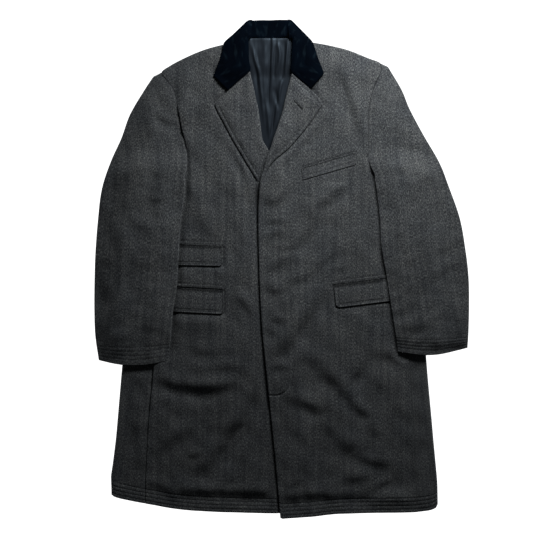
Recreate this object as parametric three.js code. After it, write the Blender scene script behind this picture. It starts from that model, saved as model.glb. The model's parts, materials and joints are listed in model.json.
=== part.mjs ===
// A single-breasted overcoat laid flat on its back, with the left front over the right one.
// Millimetres. While it is drawn, x is 0 at the centre of the neck, y is 0 at the front hem and z is up.
// Left and right are the wearer's, so the right side has negative x.
import * as THREE from 'three';

// Driving sizes
const LENGTH = 1020; // top of the collar to the front hem
const RIGHT_REACH = 359; // centre of the neck to the outer fold of the right sleeve
const LEFT_REACH = 407;
const WALL = 3.5; // wool, canvas and lining of the made-up body
const SLEEVE_WALL = 3.2;
const LOFT = 3.8; // air between the back and a front
const SEAM = 0.3; // between neighbouring pieces
const LAPEL_WALL = 3.4;
const COLLAR_WALL = 3;
const FLAP_WALL = 3;
const JET_WALL = 1.6;
const LINING_WALL = 1.2;
const STEP = 34; // longest stretch between two rows of points

const BODY_TOP = 2 * WALL + LOFT;
const SLEEVE_TOP = 2 * SLEEVE_WALL + LOFT;
const UNDERARM = 690;
const BREAK_POINT = 743; // where the lapels part
const UNDERLAP = 58; // the right front reaches this far past the left front's edge
const SIDE_TURN = 76; // side fold to back seam
const SLEEVE_TURN = 16; // sleeve fold to the under sleeve's seam
const FALL = 55; // depth of the collar's fall behind the neck
const COLLAR_BEND = 2 * COLLAR_WALL + 1.2; // thickness of the collar where its fall is turned under
const POCKETS = { low: 400, high: 585 }; // flaps under the sleeves lie between these heights

const WOOL = { color: 0x3b3e41, roughness: 0.95, metalness: 0 };
const VELVET = { color: 0x07090f, roughness: 0.8, metalness: 0 };
const SATIN = { color: 0x30343a, roughness: 0.45, metalness: 0 };

// How far each side's fold and its seam on the front lie from the centre, up the body.
const SIDES = {
  right: [
    { y: 0, fold: 324, seam: 254 },
    { y: 59, fold: 325, seam: 254 },
    { y: 173, fold: 314, seam: 249 },
    { y: 312, fold: 302, seam: 237 },
    { y: 690, fold: 267, seam: 205 },
  ],
  left: [
    { y: 0, fold: 343, seam: 302 },
    { y: 59, fold: 342, seam: 298 },
    { y: 173, fold: 333, seam: 293 },
    { y: 320, fold: 320, seam: 284 },
    { y: 690, fold: 296, seam: 232 },
  ],
};

// Distance of the armhole and then the shoulder seam from the centre.
const ARMHOLES = {
  right: [
    { y: 690, edge: 205 },
    { y: 702, edge: 177 },
    { y: 716, edge: 171 },
    { y: 749, edge: 171 },
    { y: 796, edge: 180 },
    { y: 853, edge: 192 },
    { y: 874, edge: 198 },
    { y: 896, edge: 211 },
    { y: 908, edge: 222 },
    { y: 924, edge: 207 },
    { y: 940, edge: 175 },
    { y: 957, edge: 135 },
    { y: 964, edge: 90 },
    { y: 969, edge: 58 },
    { y: 978, edge: 45 },
  ],
  left: [
    { y: 690, edge: 232 },
    { y: 702, edge: 217 },
    { y: 716, edge: 208 },
    { y: 743, edge: 201 },
    { y: 802, edge: 200 },
    { y: 835, edge: 201 },
    { y: 862, edge: 206 },
    { y: 886, edge: 214 },
    { y: 918, edge: 224 },
    { y: 929, edge: 222 },
    { y: 940, edge: 202 },
    { y: 957, edge: 157 },
    { y: 963, edge: 90 },
    { y: 968, edge: 58 },
    { y: 978, edge: 47 },
  ],
};

// The left front's edge from the hem up to the end of its lapel, then the roll lines to the neck.
const FRONT_EDGE = [
  { y: 0, x: 21 },
  { y: 88, x: 14 },
  { y: 192, x: 4 },
  { y: 296, x: -7 },
  { y: 400, x: -17 },
  { y: 510, x: -22 },
  { y: 611, x: -24 },
  { y: 682, x: -21 },
  { y: 721, x: -11 },
  { y: BREAK_POINT, x: -5 },
];
const LEFT_ROLL = [
  { y: BREAK_POINT, x: -5 },
  { y: 775, x: 7 },
  { y: 826, x: 24 },
  { y: 866, x: 32 },
  { y: 910, x: 43 },
  { y: 978, x: 45 },
];
const RIGHT_ROLL = [
  { y: 600, x: 34 },
  { y: 660, x: 26 },
  { y: 690, x: 15 },
  { y: BREAK_POINT, x: -5 },
  { y: 775, x: -15 },
  { y: 831, x: -23 },
  { y: 867, x: -30 },
  { y: 913, x: -40 },
  { y: 978, x: -43 },
];

// Height of each front's hem above the lowest point.
const HEMS = {
  right: [
    { x: -322, rise: 48 },
    { x: -285, rise: 37 },
    { x: -198, rise: 21 },
    { x: -75, rise: 13 },
    { x: 90, rise: 11 },
  ],
  left: [
    { x: 22, rise: 0 },
    { x: 89, rise: 5 },
    { x: 141, rise: 10 },
    { x: 284, rise: 13 },
    { x: 324, rise: 18 },
    { x: 343, rise: 30 },
  ],
};
const HEM_EASE = 120; // the hem's slope dies out over this height

// Lapels, from the lower end up: the outer edge and the roll.
const LAPELS = {
  right: [
    { y: 672, outer: -17, inner: -12 },
    { y: 682, outer: -21, inner: -12 },
    { y: 730, outer: -51, inner: -1 },
    { y: BREAK_POINT, outer: -59, inner: 3 },
    { y: 776, outer: -78, inner: -15.5 },
    { y: 843, outer: -113, inner: -25 },
    { y: 849, outer: -111, inner: -26 },
    { y: 872, outer: -86, inner: -31.5 },
    { y: 892, outer: -63, inner: -36 },
    { y: 909, outer: -44, inner: -40 },
  ],
  left: [
    { y: 686, outer: -17, inner: -20 },
    { y: 694, outer: -13, inner: -18 },
    { y: 713, outer: -4, inner: -13 },
    { y: 731, outer: 9, inner: -8 },
    { y: 756, outer: 37, inner: 1 },
    { y: 802, outer: 77, inner: 16.5 },
    { y: 843, outer: 105, inner: 28 },
    { y: 848, outer: 108, inner: 29 },
    { y: 876, outer: 83, inner: 35.5 },
    { y: 893, outer: 62, inner: 40 },
    { y: 908, outer: 45.5, inner: 43 },
  ],
};

// Collar leaves, from the front end round to the crease beside the stand.
const LEAVES = {
  right: [
    { innerX: -86, innerY: 874.5, outerX: -116, outerY: 903 },
    { innerX: -63.5, innerY: 894, outerX: -107, outerY: 924 },
    { innerX: -41, innerY: 914.5, outerX: -99, outerY: 947 },
    { innerX: -43, innerY: 945, outerX: -94, outerY: 971 },
    { innerX: -43, innerY: 960, outerX: -74, outerY: 974 },
    { innerX: -44, innerY: 976, outerX: -58, outerY: 988 },
    { innerX: -45.5, innerY: 988, outerX: -48.5, outerY: 998 },
  ],
  left: [
    { innerX: 83.5, innerY: 878.5, outerX: 110, outerY: 908 },
    { innerX: 63, innerY: 894.5, outerX: 104, outerY: 922 },
    { innerX: 43.5, innerY: 911, outerX: 97, outerY: 938 },
    { innerX: 44, innerY: 935, outerX: 88, outerY: 962 },
    { innerX: 44.5, innerY: 955, outerX: 77, outerY: 970 },
    { innerX: 46, innerY: 975, outerX: 59, outerY: 985 },
    { innerX: 47, innerY: 988, outerX: 49.5, outerY: 998 },
  ],
};

// The turned edge behind the neck, from the wearer's right to the left: its top and the fall's edge.
const NECK_TURN = [
  { topX: -92, topY: 973, lowX: -74, lowY: 940, stand: 4 },
  { topX: -77, topY: 987, lowX: -58, lowY: 945, stand: 4 },
  { topX: -60, topY: 1003, lowX: -43, lowY: 951, stand: 4 },
  { topX: -45, topY: 1014, lowX: -34, lowY: 956, stand: 34 },
  { topX: 0, topY: 1020, lowX: 0, lowY: 1020 - FALL, stand: 40.5 },
  { topX: 46, topY: 1015, lowX: 34, lowY: 957, stand: 35 },
  { topX: 63, topY: 998, lowX: 44, lowY: 951, stand: 4 },
  { topX: 80, topY: 983, lowX: 59, lowY: 945, stand: 4 },
  { topX: 88, topY: 972, lowX: 70, lowY: 940, stand: 4 },
];

// Sleeves from the shoulder point to the cuff: the edge by the body and the outer fold.
const SLEEVES = {
  right: [
    { innerX: 225, innerY: 905, outerX: 233, outerY: 908 },
    { innerX: 200, innerY: 876, outerX: 257, outerY: 875 },
    { innerX: 187, innerY: 826, outerX: 286, outerY: 826 },
    { innerX: 178, innerY: 780, outerX: 304, outerY: 777 },
    { innerX: 172, innerY: 728, outerX: 326, outerY: 728 },
    { innerX: 174, innerY: 668, outerX: 344, outerY: 672 },
    { innerX: 182, innerY: 606, outerX: 352, outerY: 608 },
    { innerX: 186, innerY: 540, outerX: 357, outerY: 540 },
    { innerX: 190, innerY: 474, outerX: 359, outerY: 474 },
    { innerX: 198, innerY: 420, outerX: 359, outerY: 420 },
    { innerX: 202, innerY: 376, outerX: 357, outerY: 372 },
    { innerX: 206, innerY: 324, outerX: 350, outerY: 324 },
  ],
  left: [
    { innerX: 227, innerY: 915, outerX: 236, outerY: 922 },
    { innerX: 213, innerY: 876, outerX: 267, outerY: 875 },
    { innerX: 203, innerY: 838, outerX: 285, outerY: 838 },
    { innerX: 201, innerY: 785, outerX: 313, outerY: 785 },
    { innerX: 206, innerY: 728, outerX: 346, outerY: 728 },
    { innerX: 216, innerY: 678, outerX: 365, outerY: 680 },
    { innerX: 224, innerY: 612, outerX: 388, outerY: 614 },
    { innerX: 227, innerY: 556, outerX: 399, outerY: 554 },
    { innerX: 237, innerY: 498, outerX: 406, outerY: 494 },
    { innerX: 246, innerY: 440, outerX: 407, outerY: 436 },
    { innerX: 254, innerY: 388, outerX: 406, outerY: 386 },
    { innerX: 261, innerY: 342, outerX: 404, outerY: 349 },
  ],
};
const SLEEVE_START = 0.035; // the first of these rows is too narrow to sew
const CUFF_BOW = 10; // the cuff's lowest point below the line between its ends

// The largest folds of the body: a ridge has a positive height and a trough a negative one.
const BODY_FOLDS = [
  { x0: -212, y0: 288, x1: -62, y1: 276, width: 26, height: -3 },
  { x0: -200, y0: 318, x1: -75, y1: 312, width: 30, height: 4.5 },
  { x0: -35, y0: 270, x1: -125, y1: 105, width: 34, height: -3 },
  { x0: -60, y0: 262, x1: -150, y1: 120, width: 40, height: 4 },
  { x0: -173, y0: 196, x1: -218, y1: 132, width: 26, height: -2.6 },
  { x0: 140, y0: 400, x1: 75, y1: 345, width: 34, height: 3.5 },
  { x0: 130, y0: 505, x1: 38, y1: 555, width: 30, height: 3 },
  { x0: 84, y0: 320, x1: 208, y1: 190, width: 36, height: 4.5 },
  { x0: 60, y0: 300, x1: 180, y1: 165, width: 28, height: -2.6 },
  { x0: 190, y0: 100, x1: 124, y1: 70, width: 28, height: 3 },
  { x0: -128, y0: 852, x1: -165, y1: 755, width: 30, height: 3.5 },
  { x0: 160, y0: 880, x1: 188, y1: 760, width: 34, height: 4 },
];
const SLEEVE_FOLDS = [
  { x0: -250, y0: 850, x1: -232, y1: 700, width: 30, height: 4 },
  { x0: -235, y0: 800, x1: -215, y1: 720, width: 20, height: -2 },
  { x0: -330, y0: 560, x1: -235, y1: 520, width: 28, height: 3 },
  { x0: 260, y0: 890, x1: 262, y1: 690, width: 28, height: 4.5 },
  { x0: 385, y0: 560, x1: 330, y1: 530, width: 26, height: 3 },
  { x0: 266, y0: 430, x1: 330, y1: 400, width: 30, height: 3 },
];
const LINING_FOLDS = [
  { x0: 1, y0: 990, x1: -3, y1: 860, width: 9, height: 2.2 },
  { x0: -38, y0: 975, x1: -24, y1: 880, width: 12, height: 2.2 },
  { x0: 14, y0: 975, x1: 6, y1: 850, width: 9, height: 2 },
  { x0: 36, y0: 985, x1: 22, y1: 890, width: 11, height: 2.2 },
];

// Pockets on the fronts: the flap's or welt's ends, and its top edge there.
const POCKET_PIECES = [
  { name: 'ticket_flap', x0: -232, y0: 559, x1: -97, y1: 557, drop: 40, wall: FLAP_WALL },
  { name: 'ticket_jet', x0: -232, y0: 567, x1: -98, y1: 565, drop: 6.5, wall: JET_WALL },
  { name: 'right_hip_flap', x0: -232, y0: 474, x1: -94, y1: 467, drop: 50, wall: FLAP_WALL },
  { name: 'right_hip_jet', x0: -232, y0: 482, x1: -95, y1: 475.5, drop: 6.5, wall: JET_WALL },
  { name: 'left_hip_flap', x0: 131, y0: 477, x1: 268, y1: 495, drop: 47, wall: FLAP_WALL },
  { name: 'left_hip_jet', x0: 131, y0: 485.5, x1: 268, y1: 503.5, drop: 6.5, wall: JET_WALL },
  { name: 'breast_welt', x0: 66, y0: 717, x1: 175, y1: 748, drop: 25, wall: 2.2 },
];
const FLAP_CORNER = 7;

const coat = new THREE.Group();

// Reads a column of a table between its rows, along a curve that doesn't overshoot them.
function read(table, key, column, at) {
  const last = table.length - 1;
  if (at <= table[0][key]) return table[0][column];
  if (at >= table[last][key]) return table[last][column];
  const row = table.findIndex((entry) => entry[key] > at) - 1;
  const slope = (i) => {
    if (i < 0 || i >= last) return null;
    return (table[i + 1][column] - table[i][column]) / (table[i + 1][key] - table[i][key]);
  };
  const tangent = (i) => {
    const before = slope(i - 1);
    const after = slope(i);
    if (before === null) return after;
    if (after === null) return before;
    return before * after <= 0 ? 0 : (2 * before * after) / (before + after);
  };
  const span = table[row + 1][key] - table[row][key];
  const t = (at - table[row][key]) / span;
  const from = table[row][column] * (1 + 2 * t) * (1 - t) ** 2 + tangent(row) * span * t * (1 - t) ** 2;
  return from + table[row + 1][column] * t * t * (3 - 2 * t) - tangent(row + 1) * span * t * t * (1 - t);
}

function ease(low, high, value) {
  return THREE.MathUtils.smoothstep(value, low, high);
}

// The height that a list of folds adds at a place: each is soft across and dies out at its ends.
function foldHeight(folds, x, y) {
  let height = 0;
  for (const fold of folds) {
    const alongX = fold.x1 - fold.x0;
    const alongY = fold.y1 - fold.y0;
    const length = Math.hypot(alongX, alongY);
    const along = ((x - fold.x0) * alongX + (y - fold.y0) * alongY) / length ** 2;
    const aside = ((x - fold.x0) * alongY - (y - fold.y0) * alongX) / length;
    if (along <= 0 || along >= 1 || Math.abs(aside) >= fold.width) continue;
    height += fold.height * Math.sin(Math.PI * along) * Math.cos((Math.PI * aside) / (2 * fold.width)) ** 2;
  }
  return height;
}

function sideOf(x) {
  return x < 0 ? 'right' : 'left';
}

// The body lies a little higher behind the neck, where the collar's fall is under it.
function neckLift(x, y) {
  return (COLLAR_WALL + SEAM) * ease(900, 932, y) * (1 - ease(104, 150, Math.abs(x)));
}

// Folds keep clear of what lies on the fronts: lapels, pockets and sleeves.
function openCloth(x, y) {
  let open = 1;
  for (const piece of POCKET_PIECES) {
    const acrossPiece = Math.max(piece.x0 - x, x - piece.x1, 0);
    const belowPiece = Math.max(Math.min(piece.y0, piece.y1) - piece.drop - y, y - Math.max(piece.y0, piece.y1), 0);
    open *= ease(6, 30, Math.hypot(acrossPiece, belowPiece));
  }
  const lapelEdge = Math.abs(read(LAPELS[sideOf(x)], 'y', 'outer', y));
  if (y > 660) open *= ease(4, 34, Math.abs(x) - lapelEdge);
  const sleeve = SLEEVES[sideOf(x)];
  if (y > 300 && y < 730) {
    const upward = [...sleeve].reverse();
    open *= ease(4, 30, read(upward, 'innerY', 'innerX', y) - Math.abs(x));
  }
  return open;
}

// The top of the right front, which lies flat under the left one.
function rightFrontTop(x, y) {
  const shown = 1 - ease(-60, -20, x);
  const folds = foldHeight(BODY_FOLDS, x, y) * openCloth(x, y) * shown;
  return BODY_TOP + neckLift(x, y) + folds - shoulderDrop(x, y);
}

// A front comes down on to the back along the shoulder seam.
function shoulderDrop(x, y) {
  const shoulder = ARMHOLES[sideOf(x)].filter((row) => row.y > 904).map((row) => ({ ...row, across: -row.edge }));
  const seamY = read(shoulder.slice(1), 'across', 'y', -Math.abs(x));
  return (LOFT - 3 * SEAM) * (1 - ease(2, 30, seamY - y)) * ease(56, 96, Math.abs(x));
}

// The left front climbs over the right front's underlap, and over the end of the right lapel.
function leftFrontTop(x, y) {
  const underEdge = y < BREAK_POINT ? underlapEdge(y) : read(LEFT_ROLL, 'y', 'x', y);
  const overFront = (WALL + SEAM) * (1 - ease(15, 42, x - underEdge)) * (1 - ease(780, 870, y));
  const overLapel = (LAPEL_WALL + SEAM) * ease(600, 664, y) * (1 - ease(12, 50, x)) * (1 - ease(780, 860, y));
  const folds = foldHeight(BODY_FOLDS, x, y) * openCloth(x, y) * ease(10, 60, x);
  return BODY_TOP + neckLift(x, y) + overFront + overLapel + folds - shoulderDrop(x, y);
}

function underlapEdge(y) {
  const fromFrontEdge = read(FRONT_EDGE, 'y', 'x', y) + UNDERLAP;
  const fromRoll = read(RIGHT_ROLL, 'y', 'x', y);
  return THREE.MathUtils.lerp(fromFrontEdge, fromRoll, ease(560, 660, y));
}

// The highest of a surface at a place and round it, so that what lies on it stays clear.
function clearOver(surface, x, y, reach) {
  let highest = surface(x, y);
  for (let turn = 0; turn < 8; turn++) {
    const angle = (turn * Math.PI) / 4;
    highest = Math.max(highest, surface(x + reach * Math.cos(angle), y + reach * Math.sin(angle)));
  }
  return highest;
}

function addMesh(name, geometry, finish) {
  const mesh = new THREE.Mesh(geometry, new THREE.MeshStandardMaterial(finish));
  mesh.name = name;
  coat.add(mesh);
}

// Closes a wall of cloth between two grids of points, its outer and its inner face.
function addWall(name, finish, outer, inner) {
  const rows = outer.length;
  const columns = outer[0].length;
  const position = [...outer.flat(), ...inner.flat()].flat();
  const index = [];
  const at = (face, row, column) => (face * rows + row) * columns + column;
  const quad = (a, b, c, d) => index.push(a, b, c, a, c, d);
  for (let row = 0; row < rows - 1; row++) {
    for (let column = 0; column < columns - 1; column++) {
      quad(at(0, row, column), at(0, row, column + 1), at(0, row + 1, column + 1), at(0, row + 1, column));
      quad(at(1, row, column), at(1, row + 1, column), at(1, row + 1, column + 1), at(1, row, column + 1));
    }
    const end = columns - 1;
    quad(at(1, row, 0), at(0, row, 0), at(0, row + 1, 0), at(1, row + 1, 0));
    quad(at(0, row, end), at(1, row, end), at(1, row + 1, end), at(0, row + 1, end));
  }
  const top = rows - 1;
  for (let column = 0; column < columns - 1; column++) {
    quad(at(1, 0, column), at(1, 0, column + 1), at(0, 0, column + 1), at(0, 0, column));
    quad(at(0, top, column), at(0, top, column + 1), at(1, top, column + 1), at(1, top, column));
  }
  const geometry = new THREE.BufferGeometry();
  geometry.setAttribute('position', new THREE.Float32BufferAttribute(position, 3));
  geometry.setIndex(enclosed(position, index) < 0 ? index.reverse() : index);
  addMesh(name, geometry, finish);
}

// The volume that the triangles close, negative where they face inwards.
function enclosed(position, index) {
  const corner = (i) => new THREE.Vector3().fromArray(position, index[i] * 3);
  let volume = 0;
  for (let i = 0; i < index.length; i += 3) {
    volume += corner(i).dot(corner(i + 1).cross(corner(i + 2))) / 6;
  }
  return volume;
}

// Heights from low to high that keep every row of the tables, with no stretch longer than STEP.
function heights(low, high, ...tables) {
  const kept = new Set([low, high]);
  for (const table of tables) {
    for (const row of table) if (row.y > low && row.y < high) kept.add(row.y);
  }
  const sorted = [...kept].sort((a, b) => a - b).filter((y, i, all) => i === 0 || y === high || high - y > 5);
  const result = [sorted[0]];
  for (let i = 1; i < sorted.length; i++) {
    const parts = Math.ceil((sorted[i] - sorted[i - 1]) / STEP);
    for (let part = 1; part <= parts; part++) {
      result.push(THREE.MathUtils.lerp(sorted[i - 1], sorted[i], part / parts));
    }
  }
  return result;
}

// A panel between two edges, read at each height, with its top face at a given height.
// Its columns lie closer towards the inner edge where crowding is over 1.
function addPanel(name, finish, { ys, inner, outer, columns, place, top, wall, crowding = 1 }) {
  const grid = ys.map((y) => {
    const from = inner(y);
    const to = outer(y);
    const across = (i) => THREE.MathUtils.lerp(from, to, (i / columns) ** crowding);
    return Array.from({ length: columns + 1 }, (_, i) => place(across(i), y));
  });
  const upper = grid.map((row) => row.map(([x, y]) => [x, y, top(x, y)]));
  const lower = grid.map((row) => row.map(([x, y]) => [x, y, top(x, y) - wall]));
  addWall(name, finish, upper, lower);
}

// Moves a place on a front so that the panel's lowest row follows the hem.
function hemmed(side) {
  return (x, y) => [x, y + read(HEMS[side], 'x', 'rise', x) * (1 - ease(0, HEM_EASE, y))];
}

function bodyEdge(side, column, inset) {
  const sign = side === 'right' ? -1 : 1;
  return (y) => {
    if (y <= UNDERARM) return sign * (read(SIDES[side], 'y', column, y) - inset);
    return sign * (read(ARMHOLES[side], 'y', 'edge', y) - SEAM);
  };
}

function backTop(x, y) {
  return WALL + neckLift(x, y);
}

function addBack(side) {
  const sign = side === 'right' ? -1 : 1;
  const upper = bodyEdge(side, 'fold', SIDE_TURN + SEAM);
  addPanel(`${side}_back`, WOOL, {
    ys: heights(14, 978, ARMHOLES[side]),
    inner: () => (sign * SEAM) / 2,
    outer: upper,
    columns: 4,
    place: hemmed(side),
    top: backTop,
    wall: WALL,
  });
}

function addFronts() {
  addPanel('right_front', WOOL, {
    ys: heights(0, 978, ARMHOLES.right),
    inner: (y) => (y < BREAK_POINT ? underlapEdge(y) : read(RIGHT_ROLL, 'y', 'x', y)),
    outer: bodyEdge('right', 'seam', SEAM),
    columns: 10,
    crowding: 1.4,
    place: hemmed('right'),
    top: rightFrontTop,
    wall: WALL,
  });
  addPanel('left_front', WOOL, {
    ys: heights(0, 978, ARMHOLES.left),
    inner: (y) => read(y < BREAK_POINT ? FRONT_EDGE : LEFT_ROLL, 'y', 'x', y),
    outer: bodyEdge('left', 'seam', SEAM),
    columns: 10,
    crowding: 1.4,
    place: hemmed('left'),
    top: leftFrontTop,
    wall: WALL,
  });
}

// A half turn of cloth over a fold, as places [across, z] from the top face round to the bottom one.
function turn(radius, full, steps) {
  return Array.from({ length: steps + 1 }, (_, i) => {
    const angle = Math.PI / 2 - (Math.PI * i) / steps;
    return [radius * Math.cos(angle), full / 2 + radius * Math.sin(angle)];
  });
}

// The side body runs from its seam on the front, round the side fold, to its seam on the back.
function addSideBody(side) {
  const sign = side === 'right' ? -1 : 1;
  const place = hemmed(side);
  const face = (inset) => (y) => {
    const fold = read(SIDES[side], 'y', 'fold', y);
    const seam = read(SIDES[side], 'y', 'seam', y);
    const bend = fold - BODY_TOP / 2;
    const section = [0, 1, 2].map((i) => [THREE.MathUtils.lerp(seam, bend, i / 3), BODY_TOP - inset]);
    for (const [across, z] of turn(BODY_TOP / 2 - inset, BODY_TOP, 4)) section.push([bend + across, z]);
    section.push([(bend + fold - SIDE_TURN) / 2, inset], [fold - SIDE_TURN, inset]);
    return section.map(([across, z]) => {
      const [x, height] = place(sign * across, y);
      const folds = foldHeight(BODY_FOLDS, x, height) * openCloth(x, height) * (z / BODY_TOP) ** 2;
      return [x, height, z + folds * ease(4, 30, fold - Math.abs(x))];
    });
  };
  const ys = heights(0, UNDERARM, SIDES[side]);
  addWall(`${side}_side_body`, WOOL, ys.map(face(0)), ys.map(face(WALL)));
}

// What a sleeve lies on: the body and its flaps inside the side fold, and the floor beyond it.
function sleeveBase(side, x, y) {
  const outside = Math.max(Math.abs(x) - read(SIDES[side], 'y', 'fold', y), 0);
  const above = Math.max(y - UNDERARM - 24, 0);
  const onBody = 1 - ease(14, 62, Math.hypot(outside, above));
  const onFlaps = ease(POCKETS.low - 60, POCKETS.low, y) * (1 - ease(POCKETS.high, POCKETS.high + 60, y));
  return (BODY_TOP + 2 * SEAM + (FLAP_WALL + SEAM) * onFlaps) * onBody;
}

function sleeveRows(side, parts) {
  const sign = side === 'right' ? -1 : 1;
  const edge = (which) => new THREE.CatmullRomCurve3(
    SLEEVES[side].map((row) => new THREE.Vector3(sign * row[`${which}X`], row[`${which}Y`], 0)),
  );
  const inner = edge('inner');
  const outer = edge('outer');
  return Array.from({ length: parts + 1 }, (_, i) => {
    const t = THREE.MathUtils.lerp(SLEEVE_START, 1, i / parts);
    return { inner: inner.getPoint(t), outer: outer.getPoint(t), bow: CUFF_BOW * ease(0.9, 1, t) };
  });
}

// Puts a section [across, z] on a row of the sleeve, on top of what the sleeve lies on.
function onSleeve(side, row, section) {
  const width = row.inner.distanceTo(row.outer);
  return section(width).map(([across, z]) => {
    const t = across / width;
    const point = row.inner.clone().lerp(row.outer, t);
    point.y -= row.bow * Math.sin(Math.PI * THREE.MathUtils.clamp(t, 0, 1));
    const folds = foldHeight(SLEEVE_FOLDS, point.x, point.y) * (z / SLEEVE_TOP) ** 2;
    return [point.x, point.y, z + folds + sleeveBase(side, point.x, point.y)];
  });
}

// How far in from a sleeve's fold the seam of the under sleeve runs.
function underSeam(width) {
  return Math.min(SLEEVE_TURN, width * 0.44);
}

// The top sleeve turns under at both folds and meets the under sleeve there.
function addSleeve(side) {
  const rows = sleeveRows(side, 26);
  const topSection = (inset) => (width) => {
    const radius = Math.min(SLEEVE_TOP / 2, width / 2.4);
    const bend = turn(radius - inset, SLEEVE_TOP, 4);
    const section = [[underSeam(width), inset]];
    for (const [across, z] of [...bend].reverse()) section.push([radius - across, z]);
    for (const part of [0.2, 0.4, 0.6, 0.8]) {
      section.push([THREE.MathUtils.lerp(radius, width - radius, part), SLEEVE_TOP - inset]);
    }
    for (const [across, z] of bend) section.push([width - radius + across, z]);
    section.push([width - underSeam(width), inset]);
    return section;
  };
  const face = (inset) => rows.map((row) => onSleeve(side, row, topSection(inset)));
  addWall(`${side}_top_sleeve`, WOOL, face(0), face(SLEEVE_WALL));
  const underSection = (z) => (width) => Array.from({ length: 5 }, (_, i) => [
    THREE.MathUtils.lerp(underSeam(width) + SEAM, width - underSeam(width) - SEAM, i / 4),
    z,
  ]);
  const under = (z) => rows.map((row) => onSleeve(side, row, underSection(z)));
  addWall(`${side}_under_sleeve`, WOOL, under(SLEEVE_WALL), under(0));
}

function addLapel(side, surface) {
  const table = LAPELS[side];
  addPanel(`${side}_lapel`, WOOL, {
    ys: heights(table[0].y, table[table.length - 1].y, table),
    inner: (y) => read(table, 'y', 'inner', y),
    outer: (y) => read(table, 'y', 'outer', y),
    columns: 5,
    place: (x, y) => [x, y],
    top: (x, y) => clearOver(surface, x, y, 12) + SEAM + LAPEL_WALL,
    wall: LAPEL_WALL,
  });
}

// A collar leaf lies on its front and falls to the turned edge behind the neck.
function addLeaf(side, surface) {
  const rows = sleeveLike(LEAVES[side], 9);
  const face = (thickness) => rows.map(({ inner, outer, t }) => Array.from({ length: 6 }, (_, i) => {
    const point = inner.clone().lerp(outer, i / 5);
    const lying = clearOver(surface, point.x, Math.min(point.y, 966), 12) + SEAM;
    const turned = ease(0.7, 0.9, t);
    const z = THREE.MathUtils.lerp(lying, COLLAR_BEND + SEAM, turned * ease(0.4, 1, i / 5));
    return [point.x, point.y, z + thickness];
  }));
  addWall(`collar_${side}_leaf`, VELVET, face(COLLAR_WALL), face(0));
}

// Matching points along two edges that a table gives as innerX, innerY, outerX and outerY.
function sleeveLike(table, parts) {
  const edge = (which) => new THREE.CatmullRomCurve3(
    table.map((row) => new THREE.Vector3(row[`${which}X`], row[`${which}Y`], 0)),
  );
  const inner = edge('inner');
  const outer = edge('outer');
  return Array.from({ length: parts + 1 }, (_, i) => {
    const t = i / parts;
    return { inner: inner.getPoint(t), outer: outer.getPoint(t), t };
  });
}

// Behind the neck the collar's stand shows, and its fall is turned under the back.
function addCollarBack() {
  const face = (inset) => NECK_TURN.map((row) => {
    const down = new THREE.Vector2(row.lowX - row.topX, row.lowY - row.topY);
    const depth = down.length();
    down.normalize();
    const radius = COLLAR_BEND / 2;
    const section = [[Math.max(row.stand, radius + 0.4), COLLAR_BEND - inset]];
    for (const [out, z] of turn(radius - inset, COLLAR_BEND, 6)) section.push([radius - out, z]);
    section.push([depth, inset]);
    return section.map(([across, z]) => [row.topX + down.x * across, row.topY + down.y * across, z]);
  });
  addWall('collar_back', VELVET, face(0), face(COLLAR_WALL));
}

function addLining() {
  addPanel('back_lining', SATIN, {
    ys: heights(690, 977),
    inner: (y) => Math.min(read(RIGHT_ROLL, 'y', 'x', y), -8) - 14,
    outer: (y) => read(LEFT_ROLL, 'y', 'x', y) + 14,
    columns: 12,
    place: (x, y) => [x, y],
    top: (x, y) => clearOver(backTop, x, y, 12) + SEAM + foldHeight(LINING_FOLDS, x, y) + LINING_WALL,
    wall: LINING_WALL,
  });
}

// A flap, jet or welt: a flat piece with round lower corners on its front.
function addPocketPiece({ name, x0, y0, x1, y1, drop, wall }) {
  const corner = Math.min(FLAP_CORNER, drop / 3);
  const slope = (y1 - y0) / (x1 - x0);
  const low = (x) => y0 + slope * (x - x0) - drop;
  const shape = new THREE.Shape();
  shape.moveTo(x0, y0);
  shape.lineTo(x0, low(x0) + corner);
  shape.quadraticCurveTo(x0, low(x0), x0 + corner, low(x0 + corner));
  shape.lineTo(x1 - corner, low(x1 - corner));
  shape.quadraticCurveTo(x1, low(x1), x1, low(x1) + corner);
  shape.lineTo(x1, y1);
  const geometry = new THREE.ExtrudeGeometry(shape, { depth: wall, bevelEnabled: false, curveSegments: 4 });
  geometry.translate(0, 0, BODY_TOP + SEAM);
  addMesh(name, geometry, WOOL);
}

addBack('right');
addBack('left');
addSideBody('right');
addSideBody('left');
addFronts();
addSleeve('right');
addSleeve('left');
addLapel('right', rightFrontTop);
addLapel('left', leftFrontTop);
addLeaf('right', rightFrontTop);
addLeaf('left', leftFrontTop);
addCollarBack();
addLining();
POCKET_PIECES.forEach(addPocketPiece);

// The part's own origin is under the middle of the coat.
coat.position.set((RIGHT_REACH - LEFT_REACH) / 2, -LENGTH / 2, 0);

export default coat;
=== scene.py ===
"""The looks of an overcoat laid flat on its back: wool, velvet and satin shells on the solids' forms.

Lengths are millimetres in the coat's drawing, where x is 0 at the centre of the neck, y is 0 at the
front hem and z is up. Left and right are the wearer's, so the right side has negative x. to_row turns
a place in the drawing into metres in the row frame.
"""
import json
import math
from collections import namedtuple

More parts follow.
